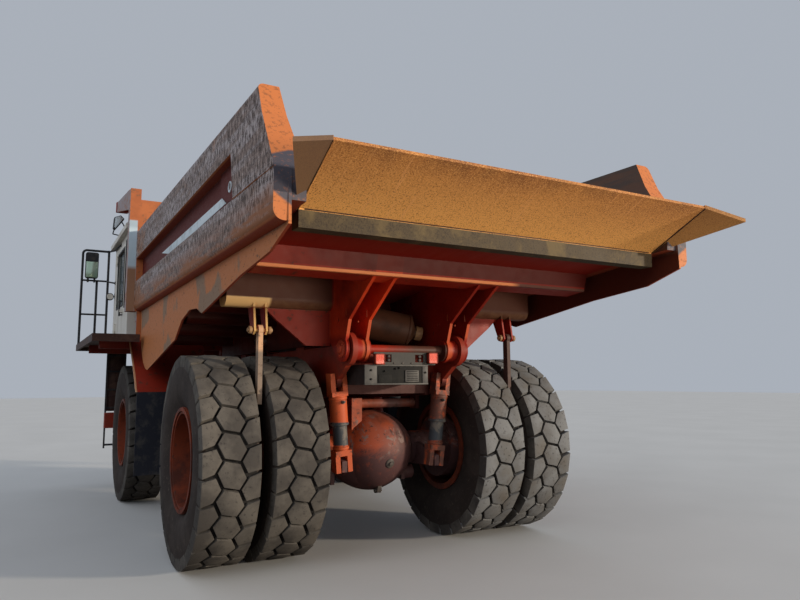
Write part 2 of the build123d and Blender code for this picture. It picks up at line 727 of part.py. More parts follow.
def hoist_barrel():
    solid = hoist_eye(0) + Cylinder(hoist_barrel_radius, hoist_barrel_end, align=upward)
    solid -= Pos(0, 0, hoist_sleeve_start - 8) * Cylinder(
        hoist_sleeve_radius + running_fit, hoist_barrel_end, align=upward)
    hole = Rot(0, 90, 0) * Cylinder(hoist_pin_radius + running_fit, 3 * hoist_barrel_radius)
    return hoist_place * (solid - hole)


def hoist_sleeve():
    length = hoist_sleeve_end - hoist_sleeve_start
    solid = Pos(0, 0, hoist_sleeve_start) * Cylinder(hoist_sleeve_radius, length, align=upward)
    solid -= Pos(0, 0, hoist_rod_start - 5) * Cylinder(
        hoist_rod_radius + running_fit, length, align=upward)
    return hoist_place * solid


def hoist_rod():
    solid = Pos(0, 0, hoist_rod_start) * Cylinder(
        hoist_rod_radius, hoist_length - hoist_rod_start, align=upward)
    return hoist_place * (solid + hoist_eye(hoist_length))


def ejector():
    # Bar hanging in the gap between the dual tyres, with the eye it swings on
    solid = block(ejector_x - 35, ejector_x + 35, dual_middle - ejector_bar / 2,
                  dual_middle + ejector_bar / 2, ejector_bottom, ejector_z)
    solid += bar((ejector_x, dual_middle - ejector_bar / 2, ejector_z),
                 (ejector_x, dual_middle + ejector_bar / 2, ejector_z), 45)
    solid -= bar((ejector_x, dual_middle - 60, ejector_z), (ejector_x, dual_middle + 60, ejector_z),
                 18 + running_fit)
    return solid


def ejector_hangers():
    # Two ears and the pin below the bed's rear outrigger beam
    solid = None
    for y in (dual_middle - 62, dual_middle + 44):
        top = floor_under(outrigger_x) - beam_table[0][1] + 60
        ear = side_plate([(ejector_x, ejector_z - 40), (ejector_x + 50, ejector_z - 30),
                          (outrigger_x + 80, top), (outrigger_x - 100, top),
                          (ejector_x - 40, ejector_z - 10)], y, y + 18)
        solid = ear if solid is None else solid + ear
    solid += bar((ejector_x, dual_middle - 75, ejector_z), (ejector_x, dual_middle + 75, ejector_z), 18)
    return solid


def decks():
    # Walkways beside and in front of the cab; each has a plate and an edge strip
    left = flat_plate([(deck_rear, deck_inner), (deck_step, deck_inner), (deck_step, hood_left + 10),
                       (deck_front, hood_left + 10), (deck_front, deck_outer), (deck_rear, deck_outer)],
                      deck_top - deck_plate, deck_top)
    left += block(deck_rear, deck_front, deck_outer - 30, deck_outer, deck_top - deck_edge, deck_top)
    left += block(deck_rear, deck_rear + 30, deck_inner, deck_outer, deck_top - deck_edge, deck_top)
    left += block(deck_front - 30, deck_front, hood_left + 10, deck_outer, deck_top - deck_edge, deck_top)
    far = mirror(left, Plane.XZ)
    far -= block(deck_step - 10, deck_front + 10, hood_right - 10, 0, deck_top - 200, deck_top + 10)
    return Compound([left, far])


def deck_beams():
    # Two cross beams on uprights from the frame, which carry the decks and the cab
    solid = None
    for x in (deck_step + 80, cab_front - 450):
        beam = block(x, x + 110, 150 - deck_outer, deck_outer - 150,
                     deck_top - deck_plate - 120, deck_top - deck_plate)
        for y in (-rail_outer, rail_inner):
            beam += block(x, x + 110, y, y + rail_wall, rail_front_top, deck_top - deck_plate - 120)
        solid = beam if solid is None else solid + beam
    return solid


def cab_shell():
    # Hollow cab with its window and door openings cut through the walls
    solid = block(cab_rear, cab_front, cab_right, cab_left, deck_top, cab_top)
    solid -= block(cab_rear + cab_wall, cab_front - cab_wall, cab_right + cab_wall, cab_left - cab_wall,
                   deck_top + cab_wall, cab_top + 10)
    for x0, x1, y0, y1, z0, z1 in cab_windows:
        solid -= block(x0, x1, y0, y1, z0, z1)
    solid -= block(door_rear, door_front, cab_left - cab_wall - 5, cab_left + 5, deck_top + cab_wall,
                   cab_top - 80)
    for z in hinge_levels:
        solid += bar((hinge_x, hinge_y, z - 30), (hinge_x, hinge_y, z + hinge_height + 30),
                     hinge_pin_radius)
        for low in (z - 30, z + hinge_height + seat_gap):
            high = low + 30 - seat_gap
            solid += bar((hinge_x, hinge_y, low), (hinge_x, hinge_y, high), hinge_radius)
            solid += block(hinge_x, hinge_x + 80, hinge_y - 10, hinge_y, low, high)
            solid += block(door_front + 6, hinge_x + 80, cab_left, hinge_y, low, high)
    return solid


def cab_glass():
    panes = []
    for x0, x1, y0, y1, z0, z1 in cab_windows:
        if x1 - x0 > cab_wall:
            y0 = (y0 + y1) / 2
            y1 = y0 + glass_wall
        else:
            x0 = (x0 + x1) / 2
            x1 = x0 + glass_wall
        panes.append(block(x0, x1, y0, y1, z0, z1))
    return Compound(panes)


def cab_roof():
    solid = block(cab_rear - 40, cab_front + 150, cab_right - 60, cab_left + 70, cab_top, roof_top)
    return chamfer(solid.edges().group_by(Axis.Z)[-1], 28)


def door_window():
    return block(door_rear + 90, door_front - 90, cab_left - cab_wall, cab_left, deck_top + 550,
                 cab_top - 180)


def cab_door():
    low = deck_top + cab_wall + door_gap
    solid = block(door_rear + door_gap, door_front - door_gap, cab_left - 45, cab_left, low,
                  cab_top - 80 - door_gap)
    solid -= door_window()
    solid += block(door_rear + 60, door_rear + 180, cab_left, cab_left + 45, low + 364, low + 404)
    for z in hinge_levels:
        solid += bar((hinge_x, hinge_y, z), (hinge_x, hinge_y, z + hinge_height), hinge_radius)
        solid += block(hinge_x - 36, hinge_x, cab_left, hinge_y - 4, z, z + hinge_height)
        solid -= bar((hinge_x, hinge_y, z), (hinge_x, hinge_y, z + hinge_height),
                     hinge_pin_radius + running_fit)
    return solid


def cab_door_glass():
    return door_window() & block(door_rear, door_front, cab_left - 30, cab_left - 30 + glass_wall,
                                 2000, cab_top)


def cab_interior():
    # Seat on its pedestal, and the console that carries the steering wheel
    floor = deck_top + cab_wall
    middle = (cab_left + cab_right) / 2
    back = cab_rear + 400
    seat = block(back + 120, back + 320, middle - 150, middle + 150, floor, floor + 350)
    seat += block(back, back + 500, middle - 250, middle + 250, floor + 350, floor + 470)
    seat += side_plate([(back, floor + 470), (back + 120, floor + 470), (back + 40, floor + 1150),
                        (back - 80, floor + 1150)], middle - 240, middle + 240)
    console = block(cab_front - 330, cab_front - cab_wall, cab_right + cab_wall + 40,
                    cab_left - cab_wall - 40, floor, floor + 560)
    console += bar((cab_front - 330, middle, floor + 400), (cab_front - 470, middle, floor + 700), 35)
    rim_place = Plane(origin=(cab_front - 475, middle, floor + 710), z_dir=(-0.42, 0, 0.9))
    console += rim_place * (Cylinder(230, 28) - Cylinder(200, 40)) + rim_place * Box(40, 420, 24)
    return Compound([seat, console])


def engine_hood():
    solid = block(cab_rear, deck_front - 230, hood_right, hood_left, deck_top - deck_plate, hood_top)
    solid = chamfer(solid.edges().group_by(Axis.Z)[-1], 60)
    return solid


def radiator_grille():
    # Frame with upright bars across the front of the radiator
    half = 560
    x0 = rail_front_end
    z0 = bumper_top + 20
    z1 = deck_top - 130
    solid = block(x0, x0 + 120, -half, half, z0, z1) - block(
        x0 + 40, x0 + 130, -half + 60, half - 60, z0 + 60, z1 - 60)
    count = 9
    for i in range(count):
        y = -half + 60 + (2 * half - 120) * (i + 0.5) / count
        solid += block(x0 + 40, x0 + 100, y - 14, y + 14, z0 + 60, z1 - 60)
    return solid


def front_bumper():
    solid = block(rail_front_end, bumper_front, -bumper_half, bumper_half, bumper_bottom, bumper_top)
    solid = chamfer(solid.edges().filter_by(Axis.Z).group_by(Axis.X)[-1], 90)
    for side in (1, -1):
        eye = flat_plate([(bumper_front - 10, 0), (bumper_front + 110, 20), (bumper_front + 110, 100),
                          (bumper_front - 10, 120)], tow_eye_bottom, tow_eye_bottom + tow_eye_wall)
        eye -= bar((bumper_front + 60, 60, tow_eye_bottom),
                   (bumper_front + 60, 60, tow_eye_bottom + tow_eye_wall), tow_hole_radius)
        solid += Pos(0, side * tow_eye_y - 60, 0) * eye
    return solid


def fender():
    # Plate that follows the front tyre from the deck down to the mudflap
    arc = [(deck_step + 20, deck_top - deck_plate), (3380, 2010), (3150, 1830), (2970, 1670),
           (2860, 1550), (flap_x + fender_plate, fender_bottom)]
    outer = [(x - fender_plate, z) for x, z in reversed(arc)]
    solid = side_plate(arc + outer, fender_inner, fender_outer)
    lip = [(x + 45, z) for x, z in arc]
    solid += side_plate(arc + list(reversed(lip)), fender_outer - 14, fender_outer)
    return solid


def mudflap():
    return block(flap_x, flap_x + 16, fender_inner + 40, fender_outer - 10,
                 flap_bottom, fender_bottom - seat_gap)


def fuel_tank():
    x0 = wheelbase - 2650
    x1 = wheelbase - 1550
    y0, y1, z0, z1 = 950, 1560, 720, 1480
    solid = block(x0, x1, y0, y1, z0, z1)
    solid = fillet(solid.edges().filter_by(Axis.X), 130)
    for x in (x0 + 300, x1 - 250):
        solid += block(x, x + 80, rail_outer, y0 + 20, 1150, 1400)
    return solid


def muffler():
    # Round body across the frame's tail, with a tapered end and its outlet
    left = Vector(-250, 330, 2240)
    back = Vector(-420, -235, 2120)
    solid = bar(left, back, 165)
    run = (back - left).normalized()
    taper = Cone(165, 66, 58, align=upward)
    solid += Plane(origin=back, z_dir=run) * taper
    solid += bar(back + run * 20, back + run * 140, 62)
    base = rail_top + 20
    for y in (-150, 220):
        solid += block(-420, -180, y, y + 40, base, 2080)
    return solid + block(rail_rear, -180, -leg_inner_y + 20, leg_inner_y - 20, rail_top, base)


def lamp_tray():
    # Open tray behind the rear cross plate, with the lamp plate on its brackets
    floor = 1588
    high = 1770
    solid = block(tray_rear, rail_rear, tray_right, tray_left, floor, floor + 16)
    for y in (tray_right, tray_left - tray_plate):
        solid += block(tray_rear, rail_rear, y, y + tray_plate, floor, high)
    solid += block(tray_rear, tray_rear + tray_plate, tray_right, tray_left, floor, high)
    solid += block(tray_rear + 60, tray_rear + 300, tray_right + 30, tray_right + 190, floor + 16, high - 30)
    solid += block(tray_rear + 60, tray_rear + 300, tray_right + 240, tray_right + 460, floor + 16, high - 70)
    solid += block(tray_rear, tray_rear + tray_plate, tail_lamps[1][0], tail_lamps[0][1], high, high + 115)
    for y0, y1 in ((190, 258), (-150, -60)):
        solid -= block(tray_rear - 10, tray_rear + 30, y0, y1, high + 25, high + 95)
    return solid


def lamps():
    # Two tail lamps on the plate's ends, and two headlamps on the bumper
    items = []
    for y0, y1, z0, z1 in tail_lamps:
        tail = block(tray_rear - 40, tray_rear, y0, y1, z0, z1)
        items.append(fillet(tail.edges().filter_by(Axis.X), 10))
    for side in (1, -1):
        head = bar((bumper_front, side * 1150, 1040), (bumper_front + 50, side * 1150, 1040), 95)
        items.append(head)
    return Compound(items)


def handrails():
    # Corner rails at the front of both decks, the grab rails beside the ladders, and the ladders
    items = []
    for side in (1, -1):
        x = deck_front - 60
        outer = side * (deck_outer - 30)
        post = side * (deck_outer - 430)
        inner = post + side * 20
        rail = bent_tube([(x, outer, deck_top), (x, outer, corner_rail_top),
                          (x, post - side * 10, corner_rail_top)], tube_radius, 60)
        rail += bar((x, post, deck_top), (x, post, corner_rail_top + tube_radius), tube_radius)
        rail += bar((x, outer, brace_lower), (x, inner, brace_lower), brace_radius)
        rail += bar((x, outer, brace_upper), (x, inner, brace_upper), brace_radius)
        items.append(rail)
    for side in (1, -1):
        y0 = side * 1640
        y1 = side * 1920
        x = bumper_front + 30
        ladder = None
        for y in (y0, y1):
            post = block(x, x + 40, y - 12, y + 12, 560, deck_top - deck_edge)
            ladder = post if ladder is None else ladder + post
        for z in (600, 900, 1200, 1500, 1800, 2060):
            ladder += block(x, x + 60, min(y0, y1), max(y0, y1), z, z + 28)
        ladder += block(bumper_front, x, min(y0, y1) - 12, max(y0, y1) + 12,
                        bumper_bottom + 80, bumper_top - 80)
        items.append(ladder)
    return Compound(items)


def mirrors():
    items = []
    for side in (1, -1):
        x = deck_front - 60
        y = side * 2230
        head = block(x - 60, x - tube_radius + 4, y - 100, y + 100, mirror_bottom, mirror_bottom + 440)
        head = fillet(head.edges().filter_by(Axis.X), 35)
        for step in (-50, 50):
            head += block(x - 45, x + 25, y + step - 14, y + step + 14,
                          brace_upper - 28, mirror_bottom + 20)
        items.append(head - bar((x, y - 110, brace_upper), (x, y + 110, brace_upper), brace_radius))
    return Compound(items)


def driveline():
    # Gearbox between the engine and the shaft to the rear axle
    back = wheelbase - 1250
    face = wheelbase - 440
    gearbox = bar((back, 0, gearbox_z), (face, 0, gearbox_z), 300)
    gearbox += block(back + 150, face - 160, -rail_inner, rail_inner, gearbox_z + 90, gearbox_z + 180)
    gearbox += bar((face, 0, gearbox_z), (engine_rear, 0, gearbox_z), 70)
    nose = diff_radius * 0.55 + 360
    gearbox += bar((nose, 0, axle_height), (nose + 60, 0, axle_height), 112)
    gearbox += bar((nose + 30, 0, axle_height), (back + 20, 0, gearbox_z - 30), 62)
    return gearbox


def engine_block():
    return block(engine_rear, rail_front_end - 120, -rail_inner, rail_inner, 960, 1980)


nodes = {
    "frame_rails": frame_rails(),
    "rear_axle": rear_axle(),
    "rear_links": rear_links(),
    "rear_struts": pair(rear_strut()),
    "driveline": driveline(),
    "engine_block": engine_block(),
    "front_struts": pair(front_strut()),
    "front_bumper": front_bumper(),
    "radiator_grille": radiator_grille(),
    "engine_hood": engine_hood(),
    "decks": decks(),
    "deck_beams": deck_beams(),
    "cab_shell": cab_shell(),
    "cab_roof": cab_roof(),
    "cab_glass": cab_glass(),
    "cab_interior": cab_interior(),
    "cab_door": cab_door(),
    "cab_door_glass": cab_door_glass(),
    "front_fenders": pair(fender()),
    "mudflaps": pair(mudflap()),
    "side_tanks": pair(fuel_tank()),
    "muffler": muffler(),
    "lamp_tray": lamp_tray(),
    "lamps": lamps(),
    "handrails": handrails(),
    "mirrors": mirrors(),
    "tie_rod": tie_rod(),
    "bed_floor": bed_floor(),
    "bed_underframe": bed_underframe() + ejector_hangers() + right(ejector_hangers()),
    "bed_ducktail": bed_ducktail(),
    "bed_headboard": bed_headboard(),
    "bed_canopy": bed_canopy(),
}

for name, place in (("left", lambda solid: solid), ("right", right)):
    rear = dual_middle
    axle = Pos(0, 0, axle_height)
    front = Pos(wheelbase, 0, axle_height)
    nodes["rear_outer_tyre_" + name] = place(axle * tyre(rear + dual_spacing / 2))
    nodes["rear_inner_tyre_" + name] = place(axle * tyre(rear - dual_spacing / 2))
    nodes["rear_rims_" + name] = place(axle * rear_rims())
    nodes["front_tyre_" + name] = place(front * tyre(front_track))
    nodes["front_rim_" + name] = place(front * front_rim())
    nodes["knuckle_" + name] = place(knuckle())
    nodes["hoist_barrel_" + name] = place(hoist_barrel())
    nodes["hoist_sleeve_" + name] = place(hoist_sleeve())
    nodes["hoist_rod_" + name] = place(hoist_rod())
    nodes["rock_ejector_" + name] = place(ejector())
    nodes["bed_side_" + name] = place(bed_side())

os.makedirs("parts", exist_ok=True)
for name, solid in nodes.items():
    export_step(Pos(-origin_x, 0, 0) * solid, "parts/" + name + ".step")
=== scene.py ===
from math import cos, pi, radians, sin

import bpy
from mathutils import Matrix, Vector


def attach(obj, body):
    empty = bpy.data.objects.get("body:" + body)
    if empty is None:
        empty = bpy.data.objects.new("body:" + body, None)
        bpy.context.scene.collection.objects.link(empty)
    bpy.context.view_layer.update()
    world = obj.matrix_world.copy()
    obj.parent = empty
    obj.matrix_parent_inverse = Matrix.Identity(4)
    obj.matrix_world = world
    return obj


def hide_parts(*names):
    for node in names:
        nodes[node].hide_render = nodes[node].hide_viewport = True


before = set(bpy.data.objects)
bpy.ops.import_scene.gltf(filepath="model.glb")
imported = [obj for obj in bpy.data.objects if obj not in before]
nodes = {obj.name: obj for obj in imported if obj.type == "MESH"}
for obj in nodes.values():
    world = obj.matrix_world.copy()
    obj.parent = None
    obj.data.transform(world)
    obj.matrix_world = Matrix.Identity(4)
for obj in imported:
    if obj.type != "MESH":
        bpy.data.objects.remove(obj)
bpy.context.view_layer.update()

# The axle lines and the tyres' middles, in metres from the truck's middle and from the ground
rear_x = -1.505
front_x = 2.495
wheel_z = 0.935
front_tyre_y = 1.66
outer_tyre_y = 1.65
inner_tyre_y = 1.05


def at(x, y, z):
    # A place by its station from the rear axle
    return Vector((x + rear_x, y, z))


def deselect():
    bpy.ops.object.select_all(action="DESELECT")


def pick(piece):
    deselect()
    bpy.context.view_layer.objects.active = piece
    piece.select_set(True)


def into_edit(piece):
    pick(piece)
    bpy.ops.object.mode_set(mode="EDIT")


def out_of_edit():
    bpy.ops.object.mode_set(mode="OBJECT")
    return bpy.context.object


def settle(piece, name, finish, body, bevel=0.0):
    # The piece's place goes into its mesh, its edges are broken, and it is given to a body
    pick(piece)
    bpy.ops.object.transform_apply(location=True, rotation=True, scale=True)
    if bevel:
        edge = piece.modifiers.new("broken edges", "BEVEL")
        edge.width = bevel
        edge.segments = 2
        edge.limit_method = "ANGLE"
        bpy.ops.object.modifier_apply(modifier=edge.name)
    bpy.ops.object.shade_smooth_by_angle(angle=radians(32))
    piece.name = name
    piece.data.name = name
    piece.data.materials.clear()
    piece.data.materials.append(finish)
    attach(piece, body)
    return piece


def copied(piece, matrix):
    # A copy with its own mesh, put elsewhere
    twin = piece.copy()
    twin.data = piece.data.copy()
    bpy.context.collection.objects.link(twin)
    twin.data.transform(matrix)
    if matrix.determinant() < 0:
        twin.data.flip_normals()
    return twin


def mirrored(piece):
    # The right-hand twin of a left-hand piece
    twin = copied(piece, Matrix.Diagonal((1, -1, 1, 1)))
    twin.name = piece.name.replace("left", "right")
    twin.data.name = twin.name
    return twin


def pair(piece, name, finish, body, bevel=0.0):
    # The piece is settled on the left, and its twin rides the same body or that of its own side
    piece = settle(piece, name + "_left", finish, body, bevel)
    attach(mirrored(piece), body.replace("left", "right"))
    return piece


def joined(pieces):
    deselect()
    for piece in pieces:
        piece.select_set(True)
    bpy.context.view_layer.objects.active = pieces[0]
    if len(pieces) > 1:
        bpy.ops.object.join()
    return bpy.context.object


def select_all():
    bpy.ops.mesh.select_all(action="SELECT")


def shift(step):
    return {"value": Vector(step)}


def dot(place):
    # One loose vertex, from which an outline is drawn
    deselect()
    bpy.ops.mesh.primitive_plane_add(size=0.01, location=(0, 0, 0))
    bpy.ops.object.mode_set(mode="EDIT")
    bpy.ops.mesh.select_mode(type="VERT")
    select_all()
    bpy.ops.mesh.merge(type="CENTER")
    bpy.ops.transform.translate(value=Vector(place))


def draw(points):
    # An open outline through the points
    dot(points[0])
    for start, end in zip(points, points[1:]):
        bpy.ops.mesh.extrude_vertices_move(TRANSFORM_OT_translate=shift(Vector(end) - Vector(start)))
    select_all()


def turned(profile, centre, axis, steps):
    # A ring turned from (radius, along) points about an axis through the centre
    centre = Vector(centre)
    axis = Vector(axis).normalized()
    out = axis.orthogonal().normalized()
    draw([centre + out * r + axis * a for r, a in profile])
    bpy.ops.mesh.spin(steps=steps, angle=2 * pi, center=centre, axis=axis)
    select_all()
    bpy.ops.mesh.remove_doubles(threshold=0.0002)
    bpy.ops.mesh.normals_make_consistent(inside=False)
    return out_of_edit()


def thickened(lift):
    # The faces being edited get a wall as long as the lift
    select_all()
    bpy.ops.mesh.extrude_region_move(TRANSFORM_OT_translate=shift(lift))
    select_all()
    bpy.ops.mesh.normals_make_consistent(inside=False)
    return out_of_edit()


def plate(outline, lift):
    # A flat plate drawn as an outline and given its wall
    draw(outline)
    bpy.ops.mesh.edge_face_add()
    return thickened(lift)


def slab(low, high):
    # A straight-sided block between two corners
    low = Vector(low)
    high = Vector(high)
    deselect()
    bpy.ops.mesh.primitive_cube_add(size=1, location=(low + high) / 2)
    piece = bpy.context.object
    piece.scale = high - low
    bpy.ops.object.transform_apply(location=True, rotation=True, scale=True)
    return piece


def rod(start, end, radius, sides=16):
    # A straight bar with flat ends
    start = Vector(start)
    end = Vector(end)
    deselect()
    bpy.ops.mesh.primitive_cylinder_add(vertices=sides, radius=radius, depth=(end - start).length,
                                        location=(start + end) / 2)
    piece = bpy.context.object
    piece.rotation_euler = (end - start).to_track_quat("Z", "Y").to_euler()
    return piece


def rod_along(x0, x1, y, z, radius, sides=16):
    # A bar that points fore and aft
    return rod(at(x0, y, z), at(x1, y, z), radius, sides)


# Finishes


class Finish:
    """A procedural finish, read from the piece's own place on the truck."""

    def __init__(self, name, colour, roughness, metallic=0.0):
        self.material = bpy.data.materials.new(name)
        self.material.use_nodes = True
        self.tree = self.material.node_tree
        self.shader = self.tree.nodes["Principled BSDF"]
        self.colour = (*colour, 1)
        self.relief = None
        self.set("Base Color", self.colour)
        self.set("Roughness", roughness)
        self.set("Metallic", metallic)
        self.set("Specular IOR Level", 0.25)
        self.place = self.node("TexCoord", {}).outputs["Object"]
        self.x, self.y, self.z = self.node("SeparateXYZ", {"Vector": self.place}).outputs

    def feed(self, socket, value):
        if isinstance(value, bpy.types.NodeSocket):
            self.tree.links.new(value, socket)
        else:
            socket.default_value = value

    def set(self, name, value):
        self.feed(self.shader.inputs[name], value)

    def node(self, kind, sockets, **settings):
        # A new node, each named socket of which gets a value or another node's output
        node = self.tree.nodes.new("ShaderNode" + kind)
        for name, value in settings.items():
            setattr(node, name, value)
        for name, value in sockets.items():
            self.feed(node.inputs[name], value)
        return node

    def stretched(self, scale, turn=(0, 0, 0)):
        sockets = {"Scale": scale, "Rotation": turn, "Vector": self.place}
        return self.node("Mapping", sockets).outputs["Vector"]

    def noise(self, size, detail=6.0, rough=0.6, scale=(1, 1, 1), turn=(0, 0, 0), warp=0.0):
        sockets = {"Scale": size, "Detail": detail, "Roughness": rough, "Distortion": warp,
                   "Vector": self.stretched(scale, turn)}
        return self.node("TexNoise", sockets).outputs["Fac"]

    def math(self, kind, a, b=0.0):
        return self.node("Math", {0: a, 1: b}, operation=kind).outputs["Value"]

    def ramp(self, value, none, full):
        return self.node("MapRange", {"Value": value, "From Min": none, "From Max": full}).outputs["Result"]

    def product(self, *shares):
        # Full only where each share is; a share can be the three terms of a ramp
        whole = None
        for share in shares:
            if isinstance(share, tuple):
                share = self.ramp(*share)
            whole = share if whole is None else self.math("MULTIPLY", whole, share)
        return whole

    def shifted(self, value, by, times):
        # A distance made ragged or sloping by a part of another value
        return self.math("ADD", value, self.math("MULTIPLY", by, times))

    def aside(self):
        # Distance from the truck's middle plane
        return self.math("ABSOLUTE", self.y)

    def facing(self, axis):
        normal = self.node("NewGeometry", {}).outputs["Normal"]
        return self.node("SeparateXYZ", {"Vector": normal}).outputs[axis]

    def over(self, colour, *shares):
        # Lays a colour over what is there, where all shares are 1
        sockets = {"Factor": self.product(*shares), "A": self.colour, "B": (*colour, 1)}
        self.colour = self.node("Mix", sockets, data_type="RGBA").outputs["Result"]

    def worn(self, share, strength, distance):
        # Lays fine relief over what is there
        sockets = {"Strength": strength, "Distance": distance, "Height": share}
        if self.relief is not None:
            sockets["Normal"] = self.relief
        self.relief = self.node("Bump", sockets).outputs["Normal"]
        return self

    def gloss(self, share, low, high):
        spread = self.node("MapRange", {"Value": share, "To Min": low, "To Max": high})
        self.set("Roughness", spread.outputs["Result"])
        return self

    def done(self):
        self.set("Base Color", self.colour)
        if self.relief is not None:
            self.set("Normal", self.relief)
        return self.material


def frame_paint():
    # Red, darker where the rear cross plate hangs below the lamp tray
    finish = Finish("red frame paint", (0.27, 0.024, 0.011), 0.55)
    broad = finish.noise(1.6, 5, 0.6)
    fine = finish.noise(9, 8, 0.65)
    grit = finish.noise(70, 4, 0.6)
    finish.over((0.34, 0.042, 0.018), (broad, 0.42, 0.66))
    finish.over((0.16, 0.07, 0.035), (fine, 0.61, 0.69))
    finish.over((0.07, 0.026, 0.019), (broad, 0.35, 0.6), (fine, 0.38, 0.62), 0.55)
    finish.over((0.040, 0.010, 0.008), (finish.x, rear_x - 0.10, rear_x - 0.20), (finish.z, 1.66, 1.60), 0.9)
    return finish.gloss(fine, 0.38, 0.75).worn(fine, 0.25, 0.004).worn(grit, 0.12, 0.002).done()


def fender_paint():
    # Red, with a painted sunlit highlight along its outer lip
    finish = Finish("red fender paint", (0.30, 0.026, 0.012), 0.5)
    fine = finish.noise(12, 8, 0.65)
    finish.over((0.14, 0.035, 0.022), (fine, 0.56, 0.66))
    finish.over((0.60, 0.30, 0.15), (finish.aside(), 1.862, 1.868))
    return finish.gloss(fine, 0.35, 0.7).worn(fine, 0.2, 0.003).done()


def axle_paint():
    # Orange under grease, which is thickest low down, to the right and behind on the link's bracket
    finish = Finish("orange axle paint over grease", (0.40, 0.075, 0.026), 0.6)
    broad = finish.noise(2.6, 6, 0.65, warp=0.6)
    fine = finish.noise(14, 8, 0.7)
    veins = finish.noise(5, 8, 0.75, warp=1.2)
    finish.over((0.115, 0.055, 0.050), (finish.y, 0.25, -0.15), (broad, 0.36, 0.50))
    finish.over((0.20, 0.135, 0.12), (veins, 0.54, 0.60))
    finish.over((0.060, 0.032, 0.028), (fine, 0.56, 0.64))
    ragged = finish.shifted(finish.z, veins, 0.25)
    finish.over((0.085, 0.040, 0.040), (ragged, 1.13, 1.02), (fine, 0.15, 0.45))
    finish.over((0.13, 0.030, 0.016), (finish.x, rear_x - 0.09, rear_x - 0.11), (finish.z, 1.15, 1.25),
                (broad, 0.60, 0.40))
    return finish.gloss(fine, 0.35, 0.8).worn(fine, 0.3, 0.004).done()


def strut_paint():
    # Orange above, with a bare dusty tube below
    finish = Finish("orange strut paint", (0.50, 0.090, 0.028), 0.5)
    fine = finish.noise(14, 8, 0.7)
    grime = finish.noise(7, 6, 0.7, warp=0.5)
    finish.over((0.14, 0.045, 0.03), (fine, 0.55, 0.64))
    finish.over((0.13, 0.050, 0.036), (finish.y, 0.0, -0.2), (grime, 0.36, 0.50))
    tube = finish.product((finish.z, 1.25, 1.24), (finish.z, 1.03, 1.04))
    finish.over((0.050, 0.058, 0.070), tube)
    finish.over((0.16, 0.14, 0.12), tube, (grime, 0.48, 0.60))
    return finish.gloss(fine, 0.35, 0.75).worn(fine, 0.25, 0.003).done()


def wheel_paint():
    finish = Finish("orange wheel paint", (0.21, 0.040, 0.016), 0.6)
    fine = finish.noise(22, 8, 0.7)
    finish.over((0.085, 0.022, 0.013), (finish.noise(3.0, 6, 0.65), 0.44, 0.58))
    finish.over((0.07, 0.035, 0.025), (fine, 0.58, 0.64))
    return finish.gloss(fine, 0.4, 0.8).worn(fine, 0.25, 0.003).done()


def side_steel():
    finish = Finish("scraped body steel", (0.30, 0.22, 0.19), 0.55)
    long_scrape = finish.noise(5, 8, 0.7, scale=(0.25, 1, 2.2))
    fine = finish.noise(26, 8, 0.7, scale=(0.6, 1, 1.3))
    broad = finish.noise(1.3, 5, 0.6)
    flecks = finish.noise(15, 10, 0.8, scale=(2.4, 1, 0.8), turn=(0, radians(14), 0))
    patches = finish.noise(1.9, 3, 0.5, scale=(1, 1, 0.8))
    height = finish.z
    depth = finish.aside()
    # The rails are scraped to brown-grey steel and rusty along their lower edge
    finish.over((0.47, 0.41, 0.41), (long_scrape, 0.44, 0.56))
    finish.over((0.40, 0.17, 0.070), (broad, 0.56, 0.68))
    finish.over((0.062, 0.036, 0.027), (flecks, 0.49, 0.53))
    finish.over((0.60, 0.52, 0.50), (flecks, 0.42, 0.38))
    finish.over((0.30, 0.115, 0.045), (height, 2.86, 2.70), (long_scrape, 0.40, 0.55))
    # The skirt keeps old orange paint, and the recess is dark red, which is painted shade over orange paint
    skirt = finish.ramp(finish.shifted(height, broad, 0.12), 2.67, 2.64)
    finish.over((0.50, 0.175, 0.058), skirt)
    finish.over((0.27, 0.165, 0.10), skirt, (patches, 0.53, 0.56))
    finish.over((0.18, 0.09, 0.05), skirt, (fine, 0.58, 0.66))
    finish.over((0.11, 0.010, 0.005), (depth, 1.83, 1.81), (height, 2.92, 2.94),
                (finish.x, rear_x - 1.9, rear_x - 1.8), (height, 3.33, 3.30))
    # Painted shade darkens the inside of the body to brown; dark red inside the skirt; a painted orange
    # highlight along the lower corner
    inside = finish.ramp(depth, 1.745, 1.735)
    finish.over((0.120, 0.066, 0.046), inside)
    finish.over((0.085, 0.060, 0.050), inside, (long_scrape, 0.46, 0.58))
    inward = finish.math("MULTIPLY", finish.facing("Y"), finish.y)
    finish.over((0.105, 0.022, 0.011), (inward, -0.8, -1.2), (height, 2.78, 2.70))
    below = finish.ramp(finish.facing("Z"), -0.5, -0.8)
    finish.over((0.30, 0.055, 0.024), below)
    # Painted highlight along the outer lower corner
    finish.over((0.62, 0.22, 0.075), below, (depth, 1.845, 1.855))
    # The rear ends are orange, with a painted cast shadow in blue-grey across a sloping band in the middle
    end = finish.ramp(finish.facing("X"), -0.5, -0.7)
    finish.over((0.50, 0.16, 0.05), end)
    finish.over((0.30, 0.105, 0.040), end, (fine, 0.54, 0.60))
    across = finish.ramp(depth, 1.87, 1.75)
    finish.over((0.075, 0.070, 0.090), end, (finish.shifted(height, across, 0.084), 2.755, 2.775),
                (finish.shifted(height, across, -0.051), 3.020, 3.005), (fine, 0.20, 0.45))
    return finish.gloss(fine, 0.42, 0.78).worn(long_scrape, 0.3, 0.006).worn(flecks, 0.4, 0.005).done()


